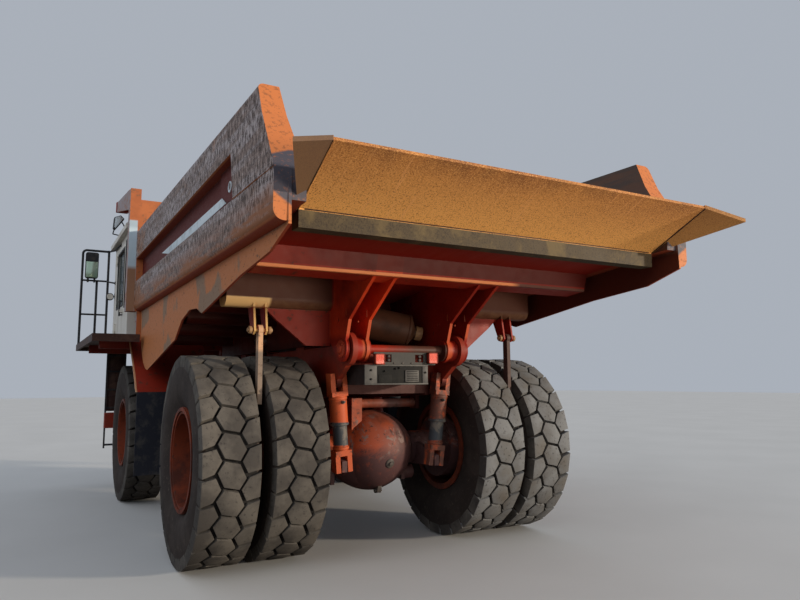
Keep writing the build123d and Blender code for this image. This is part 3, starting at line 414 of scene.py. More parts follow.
def tail_rust():
    # Fine bright rust, scored by rock and darker to the top and on the bolster, with painted shade on the
    # left wing and a little on the right one
    finish = Finish("sunburnt tail rust", (0.46, 0.185, 0.050), 0.6)
    smear = finish.noise(3.2, 8, 0.7, scale=(0.8, 1, 0.8), warp=0.4)
    grain = finish.noise(90, 8, 0.85)
    broad = finish.noise(1.4, 6, 0.6)
    score = finish.noise(2.2, 3, 0.5, scale=(0.5, 14, 0.5), turn=(radians(38), 0, 0))
    finish.over((0.34, 0.125, 0.040), (broad, 0.42, 0.62))
    finish.over((0.88, 0.44, 0.125), (finish.z, 3.02, 2.71))
    finish.over((0.13, 0.055, 0.026), (finish.z, 2.92, 3.05), (smear, 0.42, 0.60), 0.75)
    finish.over((0.72, 0.37, 0.13), (grain, 0.47, 0.42))
    finish.over((0.15, 0.058, 0.024), (grain, 0.53, 0.59))
    finish.over((0.74, 0.36, 0.14), (score, 0.672, 0.69), 0.45)
    finish.over((0.090, 0.055, 0.036), (finish.shifted(finish.y, smear, 0.05), 1.660, 1.668), 0.92)
    finish.over((0.30, 0.155, 0.060), (finish.y, -1.640, -1.648), 0.5)
    bolster = finish.ramp(finish.z, 2.722, 2.716)
    finish.over((0.062, 0.045, 0.024), bolster)
    finish.over((0.022, 0.015, 0.010), bolster, (grain, 0.50, 0.58))
    finish.over((0.115, 0.085, 0.040), bolster, (smear, 0.50, 0.62))
    return finish.gloss(smear, 0.5, 0.8).worn(smear, 0.25, 0.006).worn(grain, 0.45, 0.003).done()


def floor_steel():
    # Scoured by rock above, deep red below
    finish = Finish("rock-scoured floor steel", (0.25, 0.20, 0.165), 0.5)
    scour = finish.noise(7, 8, 0.7, scale=(0.15, 1.6, 1))
    fine = finish.noise(40, 8, 0.7)
    finish.over((0.36, 0.30, 0.26), (scour, 0.45, 0.60))
    finish.over((0.20, 0.10, 0.055), (fine, 0.55, 0.64))
    finish.over((0.27, 0.012, 0.004), (finish.facing("Z"), 0.0, -0.5))
    return finish.gloss(scour, 0.4, 0.75).worn(scour, 0.3, 0.004).worn(fine, 0.3, 0.003).done()


def under_paint():
    finish = Finish("red body underside paint", (0.34, 0.021, 0.007), 0.5)
    broad = finish.noise(1.8, 5, 0.6)
    fine = finish.noise(11, 8, 0.65)
    along = finish.x
    left = finish.y
    height = finish.z
    side = finish.aside()
    ahead = finish.facing("X")
    finish.over((0.23, 0.012, 0.005), (broad, 0.45, 0.62))
    finish.over((0.10, 0.03, 0.018), (fine, 0.60, 0.68))
    # The left pivot leg carries painted sunlight, and painted shade thickens to the front
    finish.over((0.72, 0.060, 0.014), (left, 0.40, 0.41), (side, 0.66, 0.65), (height, 2.00, 2.06),
                (broad, 0.70, 0.46))
    finish.over((0.050, 0.009, 0.006), (along, rear_x - 0.75, rear_x + 0.2), 0.85)
    # The rear outrigger is painted dark brown as painted shade, with painted sunlight along its foot, pale at
    # the left end and dim to the right
    beam = finish.product((along, rear_x - 0.66, rear_x - 0.62), (along, rear_x - 0.32, rear_x - 0.36),
                          (side, 0.66, 0.68), (height, 2.270, 2.277))
    finish.over((0.10, 0.030, 0.016), beam)
    finish.over((1.0, 0.63, 0.27), beam, (height, 2.362, 2.350), (left, 1.24, 1.27))
    finish.over((0.17, 0.080, 0.04), beam, (height, 2.36, 2.32), (fine, 0.3, 0.6), (left, 1.27, 1.24))
    # The last cross beam's lip has a painted orange sunlit highlight with painted shade to the right, and
    # painted shade darkens its web
    lip = finish.product((height, 2.512, 2.506), (along, rear_x - 1.42, rear_x - 1.43))
    finish.over((0.13, 0.045, 0.030), lip)
    finish.over((1.0, 0.34, 0.13), lip, (left, -0.85, -0.75))
    finish.over((0.085, 0.006, 0.003), (height, 2.520, 2.526), (left, 1.75, 0.70),
                (along, rear_x - 1.20, rear_x - 1.25), 0.9)
    # The pivot legs' rear-facing edges carry a painted orange sunlit highlight, but not round their bosses
    off_boss = finish.math("MAXIMUM", finish.ramp(height, 2.01, 2.05), finish.ramp(side, 0.49, 0.47))
    finish.over((0.46, 0.075, 0.026), (ahead, -0.55, -0.75), (side, 0.66, 0.65), (side, 0.415, 0.42),
                (height, 2.46, 2.45), off_boss)
    # The cross tube has painted shade to the right, and the left ejector's ears have painted sunlit
    # highlights on their edges
    finish.over((0.085, 0.034, 0.024), (side, 0.414, 0.412), (height, 1.970, 1.962), (left, 0.30, -0.10))
    finish.over((0.62, 0.37, 0.14), (ahead, -0.3, -0.5), (left, 1.25, 1.26), (height, 2.268, 2.262),
                (along, rear_x - 0.40, rear_x - 0.45))
    return finish.gloss(fine, 0.32, 0.7).worn(fine, 0.2, 0.003).done()


def tyre_rubber():
    # Dusty worn crown, with painted sky light making it palest on the right
    finish = Finish("dusty haul tyre rubber", (0.060, 0.054, 0.049), 0.85)
    speck = finish.noise(30, 8, 0.75)
    broad = finish.noise(3, 5, 0.6)
    finish.over((0.120, 0.108, 0.094), (broad, 0.42, 0.62))
    finish.over((0.19, 0.195, 0.20), (finish.y, 0.0, -0.9), (finish.facing("Y"), 0.75, 0.45),
                (broad, 0.70, 0.40))
    finish.over((0.035, 0.032, 0.031), (speck, 0.56, 0.66))
    return finish.gloss(speck, 0.75, 0.95).worn(speck, 0.35, 0.003).done()


def wall_rubber():
    finish = Finish("scuffed tyre wall rubber", (0.030, 0.022, 0.019), 0.8)
    speck = finish.noise(26, 8, 0.75)
    finish.over((0.045, 0.034, 0.029), (finish.noise(4, 5, 0.6), 0.45, 0.62))
    finish.over((0.085, 0.064, 0.052), (speck, 0.57, 0.66))
    return finish.worn(speck, 0.25, 0.003).done()


def groove_rubber():
    finish = Finish("black groove rubber", (0.014, 0.013, 0.013), 0.9)
    speck = finish.noise(24, 6, 0.7)
    finish.over((0.028, 0.026, 0.024), (speck, 0.45, 0.65))
    return finish.worn(speck, 0.25, 0.003).done()


def cab_paint():
    # Cream, with streaks from rain and specks of rust
    finish = Finish("cream cab paint", (0.70, 0.67, 0.60), 0.4)
    streak = finish.noise(3, 6, 0.6, scale=(1.5, 1.5, 0.3))
    speck = finish.noise(30, 6, 0.7)
    finish.over((0.52, 0.48, 0.41), (streak, 0.50, 0.70))
    finish.over((0.30, 0.15, 0.08), (speck, 0.68, 0.74))
    return finish.gloss(streak, 0.3, 0.6).worn(speck, 0.08, 0.001).done()


def canopy_paint():
    # Orange, scraped on top, with a painted sky reflection on its flanks, and a pale blue strip on the back
    # of each post, which is white paint in painted sky light, painted lighter below where the rail's shadow
    # falls
    finish = Finish("orange canopy paint", (0.52, 0.16, 0.055), 0.55)
    fine = finish.noise(16, 8, 0.7)
    side = finish.aside()
    finish.over((0.40, 0.12, 0.045), (finish.noise(2, 6, 0.6), 0.48, 0.62))
    finish.over((0.22, 0.11, 0.06), (fine, 0.57, 0.65))
    finish.over((0.30, 0.22, 0.16), (finish.facing("Z"), 0.6, 0.9), (fine, 0.35, 0.55))
    flank = finish.product((finish.math("ABSOLUTE", finish.facing("Y")), 0.7, 0.9), (side, 1.7, 1.72))
    finish.over((0.34, 0.33, 0.36), flank, 0.85)
    finish.over((0.36, 0.16, 0.09), flank, (fine, 0.50, 0.60))
    post = finish.product((side, 1.86, 1.87), (finish.z, 3.86, 3.84), (finish.facing("X"), -0.7, -0.8))
    finish.over((0.42, 0.53, 0.61), post)
    finish.over((0.56, 0.69, 0.77), post, (finish.z, 3.77, 3.72))
    finish.over((0.36, 0.19, 0.11), post, (finish.z, 3.22, 3.16))
    return finish.gloss(fine, 0.4, 0.8).worn(fine, 0.2, 0.003).done()


def plain_steel(name, colour, other, size=8, metallic=0.0, low=0.35, high=0.7):
    # One colour with patches of another
    finish = Finish(name, colour, 0.5, metallic)
    broad = finish.noise(size, 6, 0.65)
    finish.over(other, (broad, 0.48, 0.64))
    return finish.gloss(broad, low, high).worn(finish.noise(size * 8, 5, 0.7), 0.15, 0.002).done()


def ejector_steel():
    # Dusty grey bar, paler at its top, with painted shade on the right
    finish = Finish("dusted ejector steel", (0.23, 0.17, 0.13), 0.6)
    fine = finish.noise(14, 8, 0.7)
    finish.over((0.62, 0.36, 0.21), (finish.z, 1.87, 1.91))
    finish.over((0.16, 0.11, 0.08), (fine, 0.54, 0.64))
    finish.over((0.075, 0.040, 0.034), (finish.y, 0.1, -0.1))
    return finish.gloss(fine, 0.4, 0.8).worn(fine, 0.2, 0.003).done()


def chequer_plate():
    # Dark worn deck plate with a raised diamond tread
    finish = Finish("worn chequered deck", (0.045, 0.020, 0.016), 0.5)
    broad = finish.noise(3, 6, 0.65)
    finish.over((0.085, 0.045, 0.032), (broad, 0.46, 0.62))
    finish.over((0.16, 0.085, 0.05), (finish.noise(40, 6, 0.7), 0.60, 0.68))
    shares = [(finish.facing("Z"), 0.8, 0.95)]
    for turn in (45, -45):
        sockets = {"Scale": 9, "Vector": finish.stretched((1, 1, 0), (0, 0, radians(turn)))}
        shares.append((finish.node("TexWave", sockets).outputs["Fac"], 0.55, 0.75))
    diamonds = finish.product(*shares)
    finish.over((0.15, 0.09, 0.07), diamonds, 0.5)
    return finish.gloss(broad, 0.4, 0.75).worn(diamonds, 0.6, 0.006).done()


def window_glass():
    finish = Finish("tinted cab glass", (0.20, 0.25, 0.26), 0.06)
    smear = finish.noise(4, 5, 0.6, scale=(1, 1, 0.4))
    finish.over((0.34, 0.36, 0.34), (smear, 0.5, 0.75))
    finish.set("Transmission Weight", 0.75)
    finish.set("IOR", 1.1)
    return finish.gloss(smear, 0.04, 0.22).done()


def lamp_lens():
    # Red cells on the tail lamps, clear on the headlamps
    finish = Finish("lamp lens, red behind and clear ahead", (0.62, 0.045, 0.020), 0.25)
    cells = finish.node("TexVoronoi", {"Scale": 110, "Vector": finish.place}).outputs["Distance"]
    finish.over((0.85, 0.12, 0.06), (cells, 0.2, 0.9))
    finish.over((0.8, 0.8, 0.78), (finish.x, 2.0, 2.1))
    finish.set("Coat Weight", 0.6)
    return finish.worn(cells, 0.3, 0.002).done()


red_frame = frame_paint()
orange_axle = axle_paint()
orange_wheel = wheel_paint()
orange_strut = strut_paint()
body_steel = side_steel()
rusty_tail = tail_rust()
crown_rubber = tyre_rubber()
dark_rubber = groove_rubber()
side_rubber = wall_rubber()
cream_cab = cab_paint()
orange_canopy = canopy_paint()
cab_glass = window_glass()
black_steel = plain_steel("black rail paint", (0.025, 0.025, 0.028), (0.06, 0.05, 0.045))
blue_black = plain_steel("dark blue tank paint", (0.006, 0.008, 0.016), (0.014, 0.016, 0.024))
deck_paint = plain_steel("worn deck paint", (0.045, 0.020, 0.016), (0.085, 0.045, 0.032))
# The lamp tray's steel is made dark as painted shade
grey_steel = plain_steel("grey lamp plate steel", (0.030, 0.029, 0.028), (0.052, 0.050, 0.047))
iron = plain_steel("greasy iron", (0.10, 0.085, 0.075), (0.05, 0.042, 0.04))
muffler_iron = plain_steel("heat-browned muffler iron", (0.075, 0.032, 0.018), (0.045, 0.020, 0.012), size=5)
rod_steel = plain_steel("oiled rod steel", (0.62, 0.63, 0.64), (0.45, 0.45, 0.46), metallic=1.0,
                        low=0.15, high=0.35)
flap_rubber = plain_steel("mudflap rubber", (0.022, 0.024, 0.034), (0.06, 0.056, 0.055))
seat_cloth = plain_steel("black seat cloth", (0.03, 0.03, 0.033), (0.055, 0.055, 0.058), size=60)
# White stripe paint given the pale blue of sky light in shade, which is painted shade
stripe_paint = plain_steel("pale blue stripe paint", (0.72, 0.82, 0.88), (0.55, 0.63, 0.67), size=6)
pale_steel = plain_steel("dusty grey plate steel", (0.075, 0.072, 0.070), (0.12, 0.115, 0.108))
# Near-black plates of the tray's back, which is painted shade
tray_shade_steel = plain_steel("sooty tray plate", (0.011, 0.011, 0.011), (0.022, 0.021, 0.019), low=0.7, high=0.9)
tan_iron = plain_steel("dusted tan iron", (0.34, 0.20, 0.10), (0.20, 0.11, 0.06), size=12)
ring_red = plain_steel("worn red boss paint", (0.50, 0.065, 0.025), (0.30, 0.035, 0.018), size=10)
seal_rubber = plain_steel("black window rubber", (0.015, 0.015, 0.016), (0.04, 0.04, 0.04), size=20)
# The mirror glass is tinted green as a painted reflection
mirror_face = plain_steel("silvered mirror", (0.45, 0.62, 0.45), (0.55, 0.68, 0.55), size=3, metallic=0.6,
                          low=0.08, high=0.2)

# Each finish with the CAD nodes it is on; the names that end in _ stand for a left and a right node
node_finishes = [
    (red_frame, ["frame_rails", "front_struts", "front_bumper", "deck_beams", "tie_rod", "knuckle_",
                 "hoist_barrel_"]),
    (orange_axle, ["rear_axle", "rear_links"]),
    (orange_strut, ["rear_struts"]),
    (orange_wheel, ["front_rim_", "rear_rims_"]),
    (crown_rubber, ["front_tyre_", "rear_outer_tyre_", "rear_inner_tyre_"]),
    (iron, ["driveline", "engine_block"]),
    (rod_steel, ["hoist_sleeve_", "hoist_rod_"]),
    (ejector_steel(), ["rock_ejector_"]),
    (body_steel, ["bed_side_"]),
    (floor_steel(), ["bed_floor"]),
    (under_paint(), ["bed_underframe"]),
    (rusty_tail, ["bed_ducktail"]),
    (orange_canopy, ["bed_headboard", "bed_canopy"]),
    (cream_cab, ["engine_hood", "cab_shell", "cab_roof", "cab_door"]),
    (cab_glass, ["cab_glass", "cab_door_glass"]),
    (seat_cloth, ["cab_interior"]),
    (chequer_plate(), ["decks"]),
    (fender_paint(), ["front_fenders"]),
    (flap_rubber, ["mudflaps"]),
    (black_steel, ["radiator_grille", "handrails", "mirrors"]),
    (blue_black, ["side_tanks"]),
    (muffler_iron, ["muffler"]),
    (grey_steel, ["lamp_tray"]),
    (lamp_lens(), ["lamps"]),
]
for finish, names in node_finishes:
    for name in names:
        for side in ("left", "right") if name.endswith("_") else ("",):
            node = nodes[name + side]
            node.data.materials.clear()
            node.data.materials.append(finish)


# Haul tyres


# Outlines of the tread blocks, as (along, across) points in metres
crown_block = [(0.026, 0.114), (0.112, 0.060), (0.086, -0.060),
               (-0.026, -0.114), (-0.112, -0.060), (-0.086, 0.060)]
shoulder_block = [(0.074, 0.235), (0.098, 0.128), (0.006, 0.082), (-0.092, 0.142), (-0.124, 0.235)]
block_height = 0.055


def tread_block(outline, reach):
    # One block standing on the carcass at the top of the tyre
    points = [(along, across, reach - block_height) for along, across in outline]
    return plate(points, (0, 0, block_height))


def select_faces(piece, test):
    into_edit(piece)
    bpy.ops.mesh.select_mode(type="FACE")
    bpy.ops.mesh.select_all(action="DESELECT")
    out_of_edit()
    for face in piece.data.polygons:
        face.select = test(face.normal)
    into_edit(piece)


def dome(block):
    # The block's crown rises a little inside its rim
    select_faces(block, lambda normal: normal.z > 0.9)
    bpy.ops.mesh.inset(thickness=0.012, depth=0.004)
    return out_of_edit()


def repeated(piece, count, centre):
    # The piece all round an axle line
    into_edit(piece)
    bpy.ops.mesh.select_mode(type="VERT")
    select_all()
    bpy.ops.mesh.spin(steps=count - 1, angle=2 * pi * (count - 1) / count, dupli=True, center=centre,
                      axis=(0, 1, 0))
    return out_of_edit()


def haul_tyre():
    # The carcass is turned, and the tread is two kinds of block set round it
    blocks_round = 26
    crown_reach = 0.925
    shoulder_reach = 0.922
    half = [(0.44, 0.165), (0.44, 0.19), (0.472, 0.19), (0.53, 0.222), (0.62, 0.245), (0.72, 0.249),
            (0.82, 0.243), (0.872, 0.232), (0.893, 0.205)]
    outline = half + [(radius, -across) for radius, across in reversed(half)] + half[:1]
    carcass = turned(outline, (0, 0, 0), (0, 1, 0), 78)
    carcass.data.materials.clear()
    carcass.data.materials.append(dark_rubber)
    carcass.data.materials.append(side_rubber)
    crown_half = 0.206
    for face in carcass.data.polygons:
        face.material_index = 1 if abs(face.center.y) > crown_half else 0
    middle = dome(tread_block(crown_block, crown_reach))
    edge = dome(tread_block(shoulder_block, shoulder_reach))
    # The shoulder block runs down over the tyre's wall and tapers
    select_faces(edge, lambda normal: normal.y > 0.9)
    bpy.ops.mesh.extrude_region_move(TRANSFORM_OT_translate=shift((0, 0.008, -0.055)))
    bpy.ops.transform.resize(value=(0.9, 1, 0.7), center_override=(0, 0.243, 0.85))
    edge = out_of_edit()
    turn = Matrix.Rotation(pi / blocks_round, 4, "Y")
    half_turn = Matrix.Diagonal((-1, -1, 1, 1))
    edges = [copied(edge, turn), copied(edge, half_turn @ turn)]
    bpy.data.objects.remove(edge)
    tread = repeated(joined([middle] + edges), blocks_round, (0, 0, 0))
    tread.data.materials.clear()
    tread.data.materials.append(crown_rubber)
    return joined([carcass, tread])


tyre_places = []
for side, sign in (("left", 1), ("right", -1)):
    tyre_places += [("front_tyre_" + side, front_x, sign * front_tyre_y, "front_wheel_" + side),
                    ("rear_outer_tyre_" + side, rear_x, sign * outer_tyre_y, "rear_wheels_" + side),
                    ("rear_inner_tyre_" + side, rear_x, sign * inner_tyre_y, "rear_wheels_" + side)]
pattern = haul_tyre()
# Each tyre is turned a little further than the one before it, so that no two look alike
turn_step = 0.07
for number, (node, x, y, body) in enumerate(tyre_places):
    turn = Matrix.Rotation(turn_step * number, 4, "Y")
    tyre = copied(pattern, Matrix.Translation((x, y, wheel_z)) @ turn)
    pick(tyre)
    bpy.ops.object.shade_smooth_by_angle(angle=radians(28))
    tyre.name = node.replace("tyre", "haul_tyre")
    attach(tyre, body)
    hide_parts(node)
bpy.data.objects.remove(pattern)


# Wheels


def nut_ring(centre, radius, count, size):
    # One stud with its nut, copied round the wheel
    place = centre + Vector((radius, 0, 0))
    nut = rod(place - Vector((0, size * 0.3, 0)), place + Vector((0, size, 0)), size, 6)
    stud = rod(place, place + Vector((0, size * 1.7, 0)), size * 0.55, 10)
    ring = joined([nut, stud])
    pick(ring)
    bpy.ops.object.transform_apply(location=True, rotation=True, scale=True)
    return repeated(ring, count, centre)


def lock_ring(centre):
    # The split ring that holds the tyre's bead on the rim
    return turned([(0.437, 0.185), (0.462, 0.214), (0.462, 0.222), (0.430, 0.222), (0.430, 0.200),
                   (0.437, 0.185)], centre, (0, 1, 0), 64)


def wheel_trim(body, x, wheel_y, rings):
    # Each ring has a name, a finish, a place from the truck's middle, its radius, count and nut size
    for name, finish, y, radius, count, size in rings:
        pair(nut_ring(Vector((x, y, wheel_z)), radius, count, size), name, finish, body + "_left")
    lock = lock_ring((x, wheel_y, wheel_z))
    pair(lock, body.split("_")[0] + "_lock_ring", orange_wheel, body + "_left")


wheel_trim("rear_wheels", rear_x, outer_tyre_y,
           [("rear_wheel_nuts", iron, 1.503, 0.345, 20, 0.019),
            ("hub_cap_bolts", orange_wheel, 1.530, 0.235, 12, 0.015)])
wheel_trim("front_wheel", front_x, front_tyre_y,
           [("front_wheel_nuts", iron, 1.602, 0.330, 20, 0.019),
            ("front_hub_bolts", orange_wheel, 1.650, 0.213, 10, 0.014)])


# Bed


def recess_stripe():
    # The white stripe in the recess, pale blue with painted sky light
    corners = [(-1.004, 3.050), (1.365, 3.040), (1.905, 3.142), (-0.865, 3.124)]
    stripe = plate([at(x, 1.7745, z) for x, z in corners], (0, 0.004, 0))
    pair(stripe, "recess_stripe", stripe_paint, "bed", 0.001)


def weld(start, end, radius, name, finish):
    # A weld bead: a bar along the joint, made a little uneven
    bead = settle(rod(start, end, radius, 8), name, finish, "bed")
    into_edit(bead)
    select_all()
    bpy.ops.mesh.subdivide(number_cuts=3)
    bpy.ops.transform.vertex_random(offset=radius * 0.35, seed=4)
    return out_of_edit()


def post_welds():
    # Beads along the feet of the recess' rear posts
    foot = weld(at(-2.46, 1.870, 2.925), at(-1.55, 1.870, 2.938), 0.006, "post_foot_weld_left", body_steel)
    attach(mirrored(foot), "bed")


def gusset_rims():
    # Rims of the holes in the recess' gussets, in pale stripe paint as a painted highlight
    rim = turned([(0.033, -0.002), (0.045, -0.002), (0.045, 0.006), (0.036, 0.008), (0.033, 0.006),
                  (0.033, -0.002)], at(-1.200, 1.799, 3.130), (0, 1, 0), 36)
    pair(rim, "gusset_hole_rim", stripe_paint, "bed")


def tail_seams():
    # Beads along the folds of the tail and along the top of its bolster; rust hides the left fold's
    fold = weld(at(-2.276, 1.640, 2.719), at(-2.846, 1.640, 2.999), 0.006, "tail_fold_weld_left", deck_paint)
    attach(mirrored(fold), "bed")
    fold.data.materials[0] = rusty_tail
    weld(at(-2.291, 1.600, 2.727), at(-2.291, -1.600, 2.727), 0.005, "bolster_weld", deck_paint)


recess_stripe()
post_welds()
gusset_rims()
tail_seams()


# Trim below the bed


def band(start, end, share, radius, width, rise):
    # A strap round a tube, some way along from its start to its end
    run = end - start
    half = width / 2
    flat = half * 0.7
    sunk = radius - 0.004
    return turned([(radius, -half), (radius + rise, -flat), (radius + rise, flat), (radius, half),
                   (sunk, half), (sunk, -half), (radius, -half)], start + run * share, run, 48)


def muffler_trim():
    left = at(-0.250, 0.330, 2.240)
    back = at(-0.420, -0.235, 2.120)
    straps = [band(left, back, share, 0.165, 0.030, 0.006) for share in (0.30, 0.985)]
    settle(joined(straps), "muffler_straps", muffler_iron, "chassis", 0.001)
    collar = turned([(0.063, 0.070), (0.072, 0.074), (0.072, 0.136), (0.064, 0.143), (0.052, 0.143),
                     (0.052, 0.136), (0.063, 0.070)], back, back - left, 40)
    settle(collar, "muffler_outlet_collar", tan_iron, "chassis")


def strut_trim():
    # The strut's wiper ring, neck and gland, and its charging valve
    top = at(-0.490, 0.575, 1.640)
    foot = at(-0.460, 0.500, 0.840)
    length = (top - foot).length
    wiper = band(foot, top, 0.392 / length, 0.082, 0.026, 0.006)
    neck = band(foot, top, (length - 0.175) / length, 0.082, 0.030, 0.005)
    gland = band(foot, top, 0.170 / length, 0.068, 0.030, 0.008)
    pair(joined([wiper, neck, gland]), "strut_rings", orange_strut, "chassis", 0.001)
    valve = rod(at(-0.565, 0.545, 1.430), at(-0.590, 0.545, 1.432), 0.016, 6)
    stem = rod(at(-0.585, 0.545, 1.431), at(-0.612, 0.545, 1.434), 0.008, 10)
    pair(joined([valve, stem]), "strut_valve", iron, "chassis", 0.001)


def cover_trim():
    # The filler plug on its boss, the drain lug and the seam of the axle's round cover
    centre = at(-0.070, 0, 0.935)
    outward = Vector((-0.960, -0.050, -0.275)).normalized()
    boss = turned([(0.001, 0.374), (0.046, 0.374), (0.046, 0.384), (0.034, 0.390), (0.001, 0.390)],
                  centre, outward, 36)
    plug = rod(centre + outward * 0.386, centre + outward * 0.406, 0.021, 6)
    settle(joined([boss, plug]), "cover_plug", iron, "chassis", 0.002)
    lug = plate([at(-0.240, 0.010, 0.610), at(-0.120, 0.010, 0.560), at(-0.150, 0.010, 0.515),
                 at(-0.215, 0.010, 0.525)], (0, -0.045, 0))
    bolt = rod(at(-0.190, 0.026, 0.545), at(-0.190, -0.052, 0.545), 0.014, 6)
    settle(joined([lug, bolt]), "drain_lug", iron, "chassis", 0.003)
    seam = turned([(0.372, -0.010), (0.384, -0.010), (0.384, 0.010), (0.372, 0.010), (0.372, -0.010)],
                  at(-0.110, 0, 0.935), (1, 0, 0), 72)
    settle(seam, "cover_seam", orange_axle, "chassis", 0.002)


def pivot_trim():
    # Ends of the bed's pivot pins, each with three bolts
    pin = at(-0.760, 0.652, 1.913)
    cap = turned([(0.001, 0.030), (0.030, 0.030), (0.044, 0.022), (0.044, 0.012), (0.082, 0.008),
                  (0.082, -0.002), (0.001, -0.002)], pin, (0, 1, 0), 40)
    bolts = []
    for angle in (0.5, 2.6, 4.7):
        place = pin + Vector((0.063 * cos(angle), 0, 0.063 * sin(angle)))
        bolts.append(rod(place + Vector((0, 0.006, 0)), place + Vector((0, 0.022, 0)), 0.010, 6))
    pair(joined([cap] + bolts), "pivot_pin_end", ring_red, "bed", 0.001)


def ejector_pins():
    # A head and a nut on each end of the rock ejectors' pins
    x = -0.590
    z = 2.070
    for way, y, out in (("inner", 1.275, -1), ("outer", 1.425, 1)):
        head = rod(at(x, y - out * 0.002, z), at(x, y + out * 0.024, z), 0.033, 20)
        nut = rod(at(x, y + out * 0.020, z), at(x, y + out * 0.038, z), 0.020, 6)
        pair(joined([head, nut]), "ejector_pin_" + way, tan_iron, "bed", 0.003)


muffler_trim()
strut_trim()
cover_trim()
pivot_trim()
ejector_pins()


# Tail lamps and their tray


# Plates on the tray's back, as (y, y, z, z, thickness) in metres
pale_plates = [(0.345, 0.468, 1.600, 1.758, 0.008), (-0.193, -0.135, 1.600, 1.758, 0.008),
               (-0.194, 0.469, 1.589, 1.602, 0.012), (-0.194, 0.469, 1.758, 1.769, 0.010),
               (-0.092, 0.052, 1.612, 1.720, 0.012)]
dark_plates = [(-0.136, 0.346, 1.601, 1.757, 0.002), (0.190, 0.325, 1.606, 1.680, 0.006)]
tray_bolts = [(0.150, 1.735), (0.110, 1.742), (0.262, 1.712), (0.405, 1.720), (0.405, 1.640), (-0.164, 1.700)]


def lamp_details():
    plugs = [rod_along(-0.872, -0.846, y, z, 0.014) for y in (0.224, -0.105) for z in (1.813, 1.847)]
    settle(joined(plugs), "lamp_plate_plugs", black_steel, "chassis", 0.002)
    screws = [rod_along(-0.866, -0.856, y, 1.785, 0.009, 6) for y in (0.165, 0.075, -0.020, -0.170)]
    settle(joined(screws), "lamp_plate_screws", iron, "chassis", 0.001)


def tray_plate(y0, y1, z0, z1, thickness):
    return slab(at(-0.860 - thickness, y0, z0), at(-0.8595, y1, z1))


def tray_back():
    # Plates on the tray's back, six slots in the last pale one, and bolts
    pale = [tray_plate(*sizes) for sizes in pale_plates]
    settle(joined(pale), "tray_back_frame", pale_steel, "chassis", 0.002)
    # The dark plates, slots and bolts are in painted shade
    dark = [tray_plate(*sizes) for sizes in dark_plates]
    for step in range(6):
        z = 1.626 + step * 0.016
        dark.append(slab(at(-0.8745, -0.078, z), at(-0.870, 0.038, z + 0.006)))
    dark += [rod_along(-0.878, -0.858, y, z, 0.010, 6) for y, z in tray_bolts]
    settle(joined(dark), "tray_back_fittings", tray_shade_steel, "chassis", 0.001)


def lamp_bezel(name, y0, y1, z0, z1):
    # The rim of a tail lamp, four strips round its lens
    edge = 0.004
    y_sides = [(y - edge, y + edge, z0 - edge, z1 + edge) for y in (y0, y1)]
    z_sides = [(y0 - edge, y1 + edge, z - edge, z + edge) for z in (z0, z1)]
    strips = [slab(at(-0.9035, a, c), at(-0.862, b, d)) for a, b, c, d in y_sides + z_sides]
    settle(joined(strips), "tail_lamp_rim_" + name, red_frame, "chassis", 0.001)


lamp_details()
tray_back()
lamp_bezel("left", 0.284, 0.372, 1.775, 1.864)
lamp_bezel("right", -0.282, -0.190, 1.787, 1.881)


# Cab, canopy lamp and mirrors


def window_rubber(low, high, name, body, wide=0.035):
    # A rubber frame round a pane, which faces fore and aft or to one side
    x0, y0, z0 = low
    x1, y1, z1 = high
    if x1 - x0 > y1 - y0:
        outer = [(x0, y0, z0), (x1, y0, z0), (x1, y0, z1), (x0, y0, z1)]
        lift = (0, y1 - y0, 0)
    else:
        outer = [(x0, y0, z0), (x0, y1, z0), (x0, y1, z1), (x0, y0, z1)]
        lift = (x1 - x0, 0, 0)
    draw(outer)
    bpy.ops.mesh.edge_face_add()
    bpy.ops.mesh.inset(thickness=wide)
    bpy.ops.mesh.delete(type="FACE")
    settle(thickened(lift), name, seal_rubber, body, 0.004)


def cab_windows():
    window_rubber(at(5.748, 0.69, 2.93), at(5.760, 1.79, 3.76), "front_window_rubber", "chassis")
    window_rubber(at(3.970, 0.71, 2.93), at(3.982, 1.77, 3.76), "rear_window_rubber", "chassis")
    window_rubber(at(4.08, 1.878, 2.73), at(4.38, 1.890, 3.76), "side_window_rubber", "chassis", 0.03)
    window_rubber(at(4.12, 0.590, 2.93), at(5.61, 0.602, 3.76), "right_window_rubber", "chassis")
    window_rubber(at(4.52, 1.878, 2.78), at(5.33, 1.889, 3.69), "door_window_rubber", "cab_door")


def door_handle():
    bar = rod(at(4.54, 1.925, 2.62), at(4.54, 1.925, 2.86), 0.012)
    feet = [rod(at(4.54, 1.878, z), at(4.54, 1.928, z), 0.010) for z in (2.64, 2.84)]
    settle(joined([bar] + feet), "door_pull", black_steel, "cab_door", 0.002)


def canopy_corner():
    # Closed box at the canopy's front corners
    box = plate([at(5.000, 1.805, 4.330), at(5.096, 1.805, 4.330), at(5.096, 1.805, 4.500),
                 at(5.000, 1.805, 4.488)], (0, 0.176, 0))
    pair(box, "canopy_corner_box", red_frame, "bed", 0.008)


def bars_along(ways, radius, sides=16):
    # Round bars from point to point of each way
    bars = []
    for way in ways:
        for start, end in zip(way, way[1:]):
            bars.append(rod(at(*start), at(*end), radius, sides))
    return bars


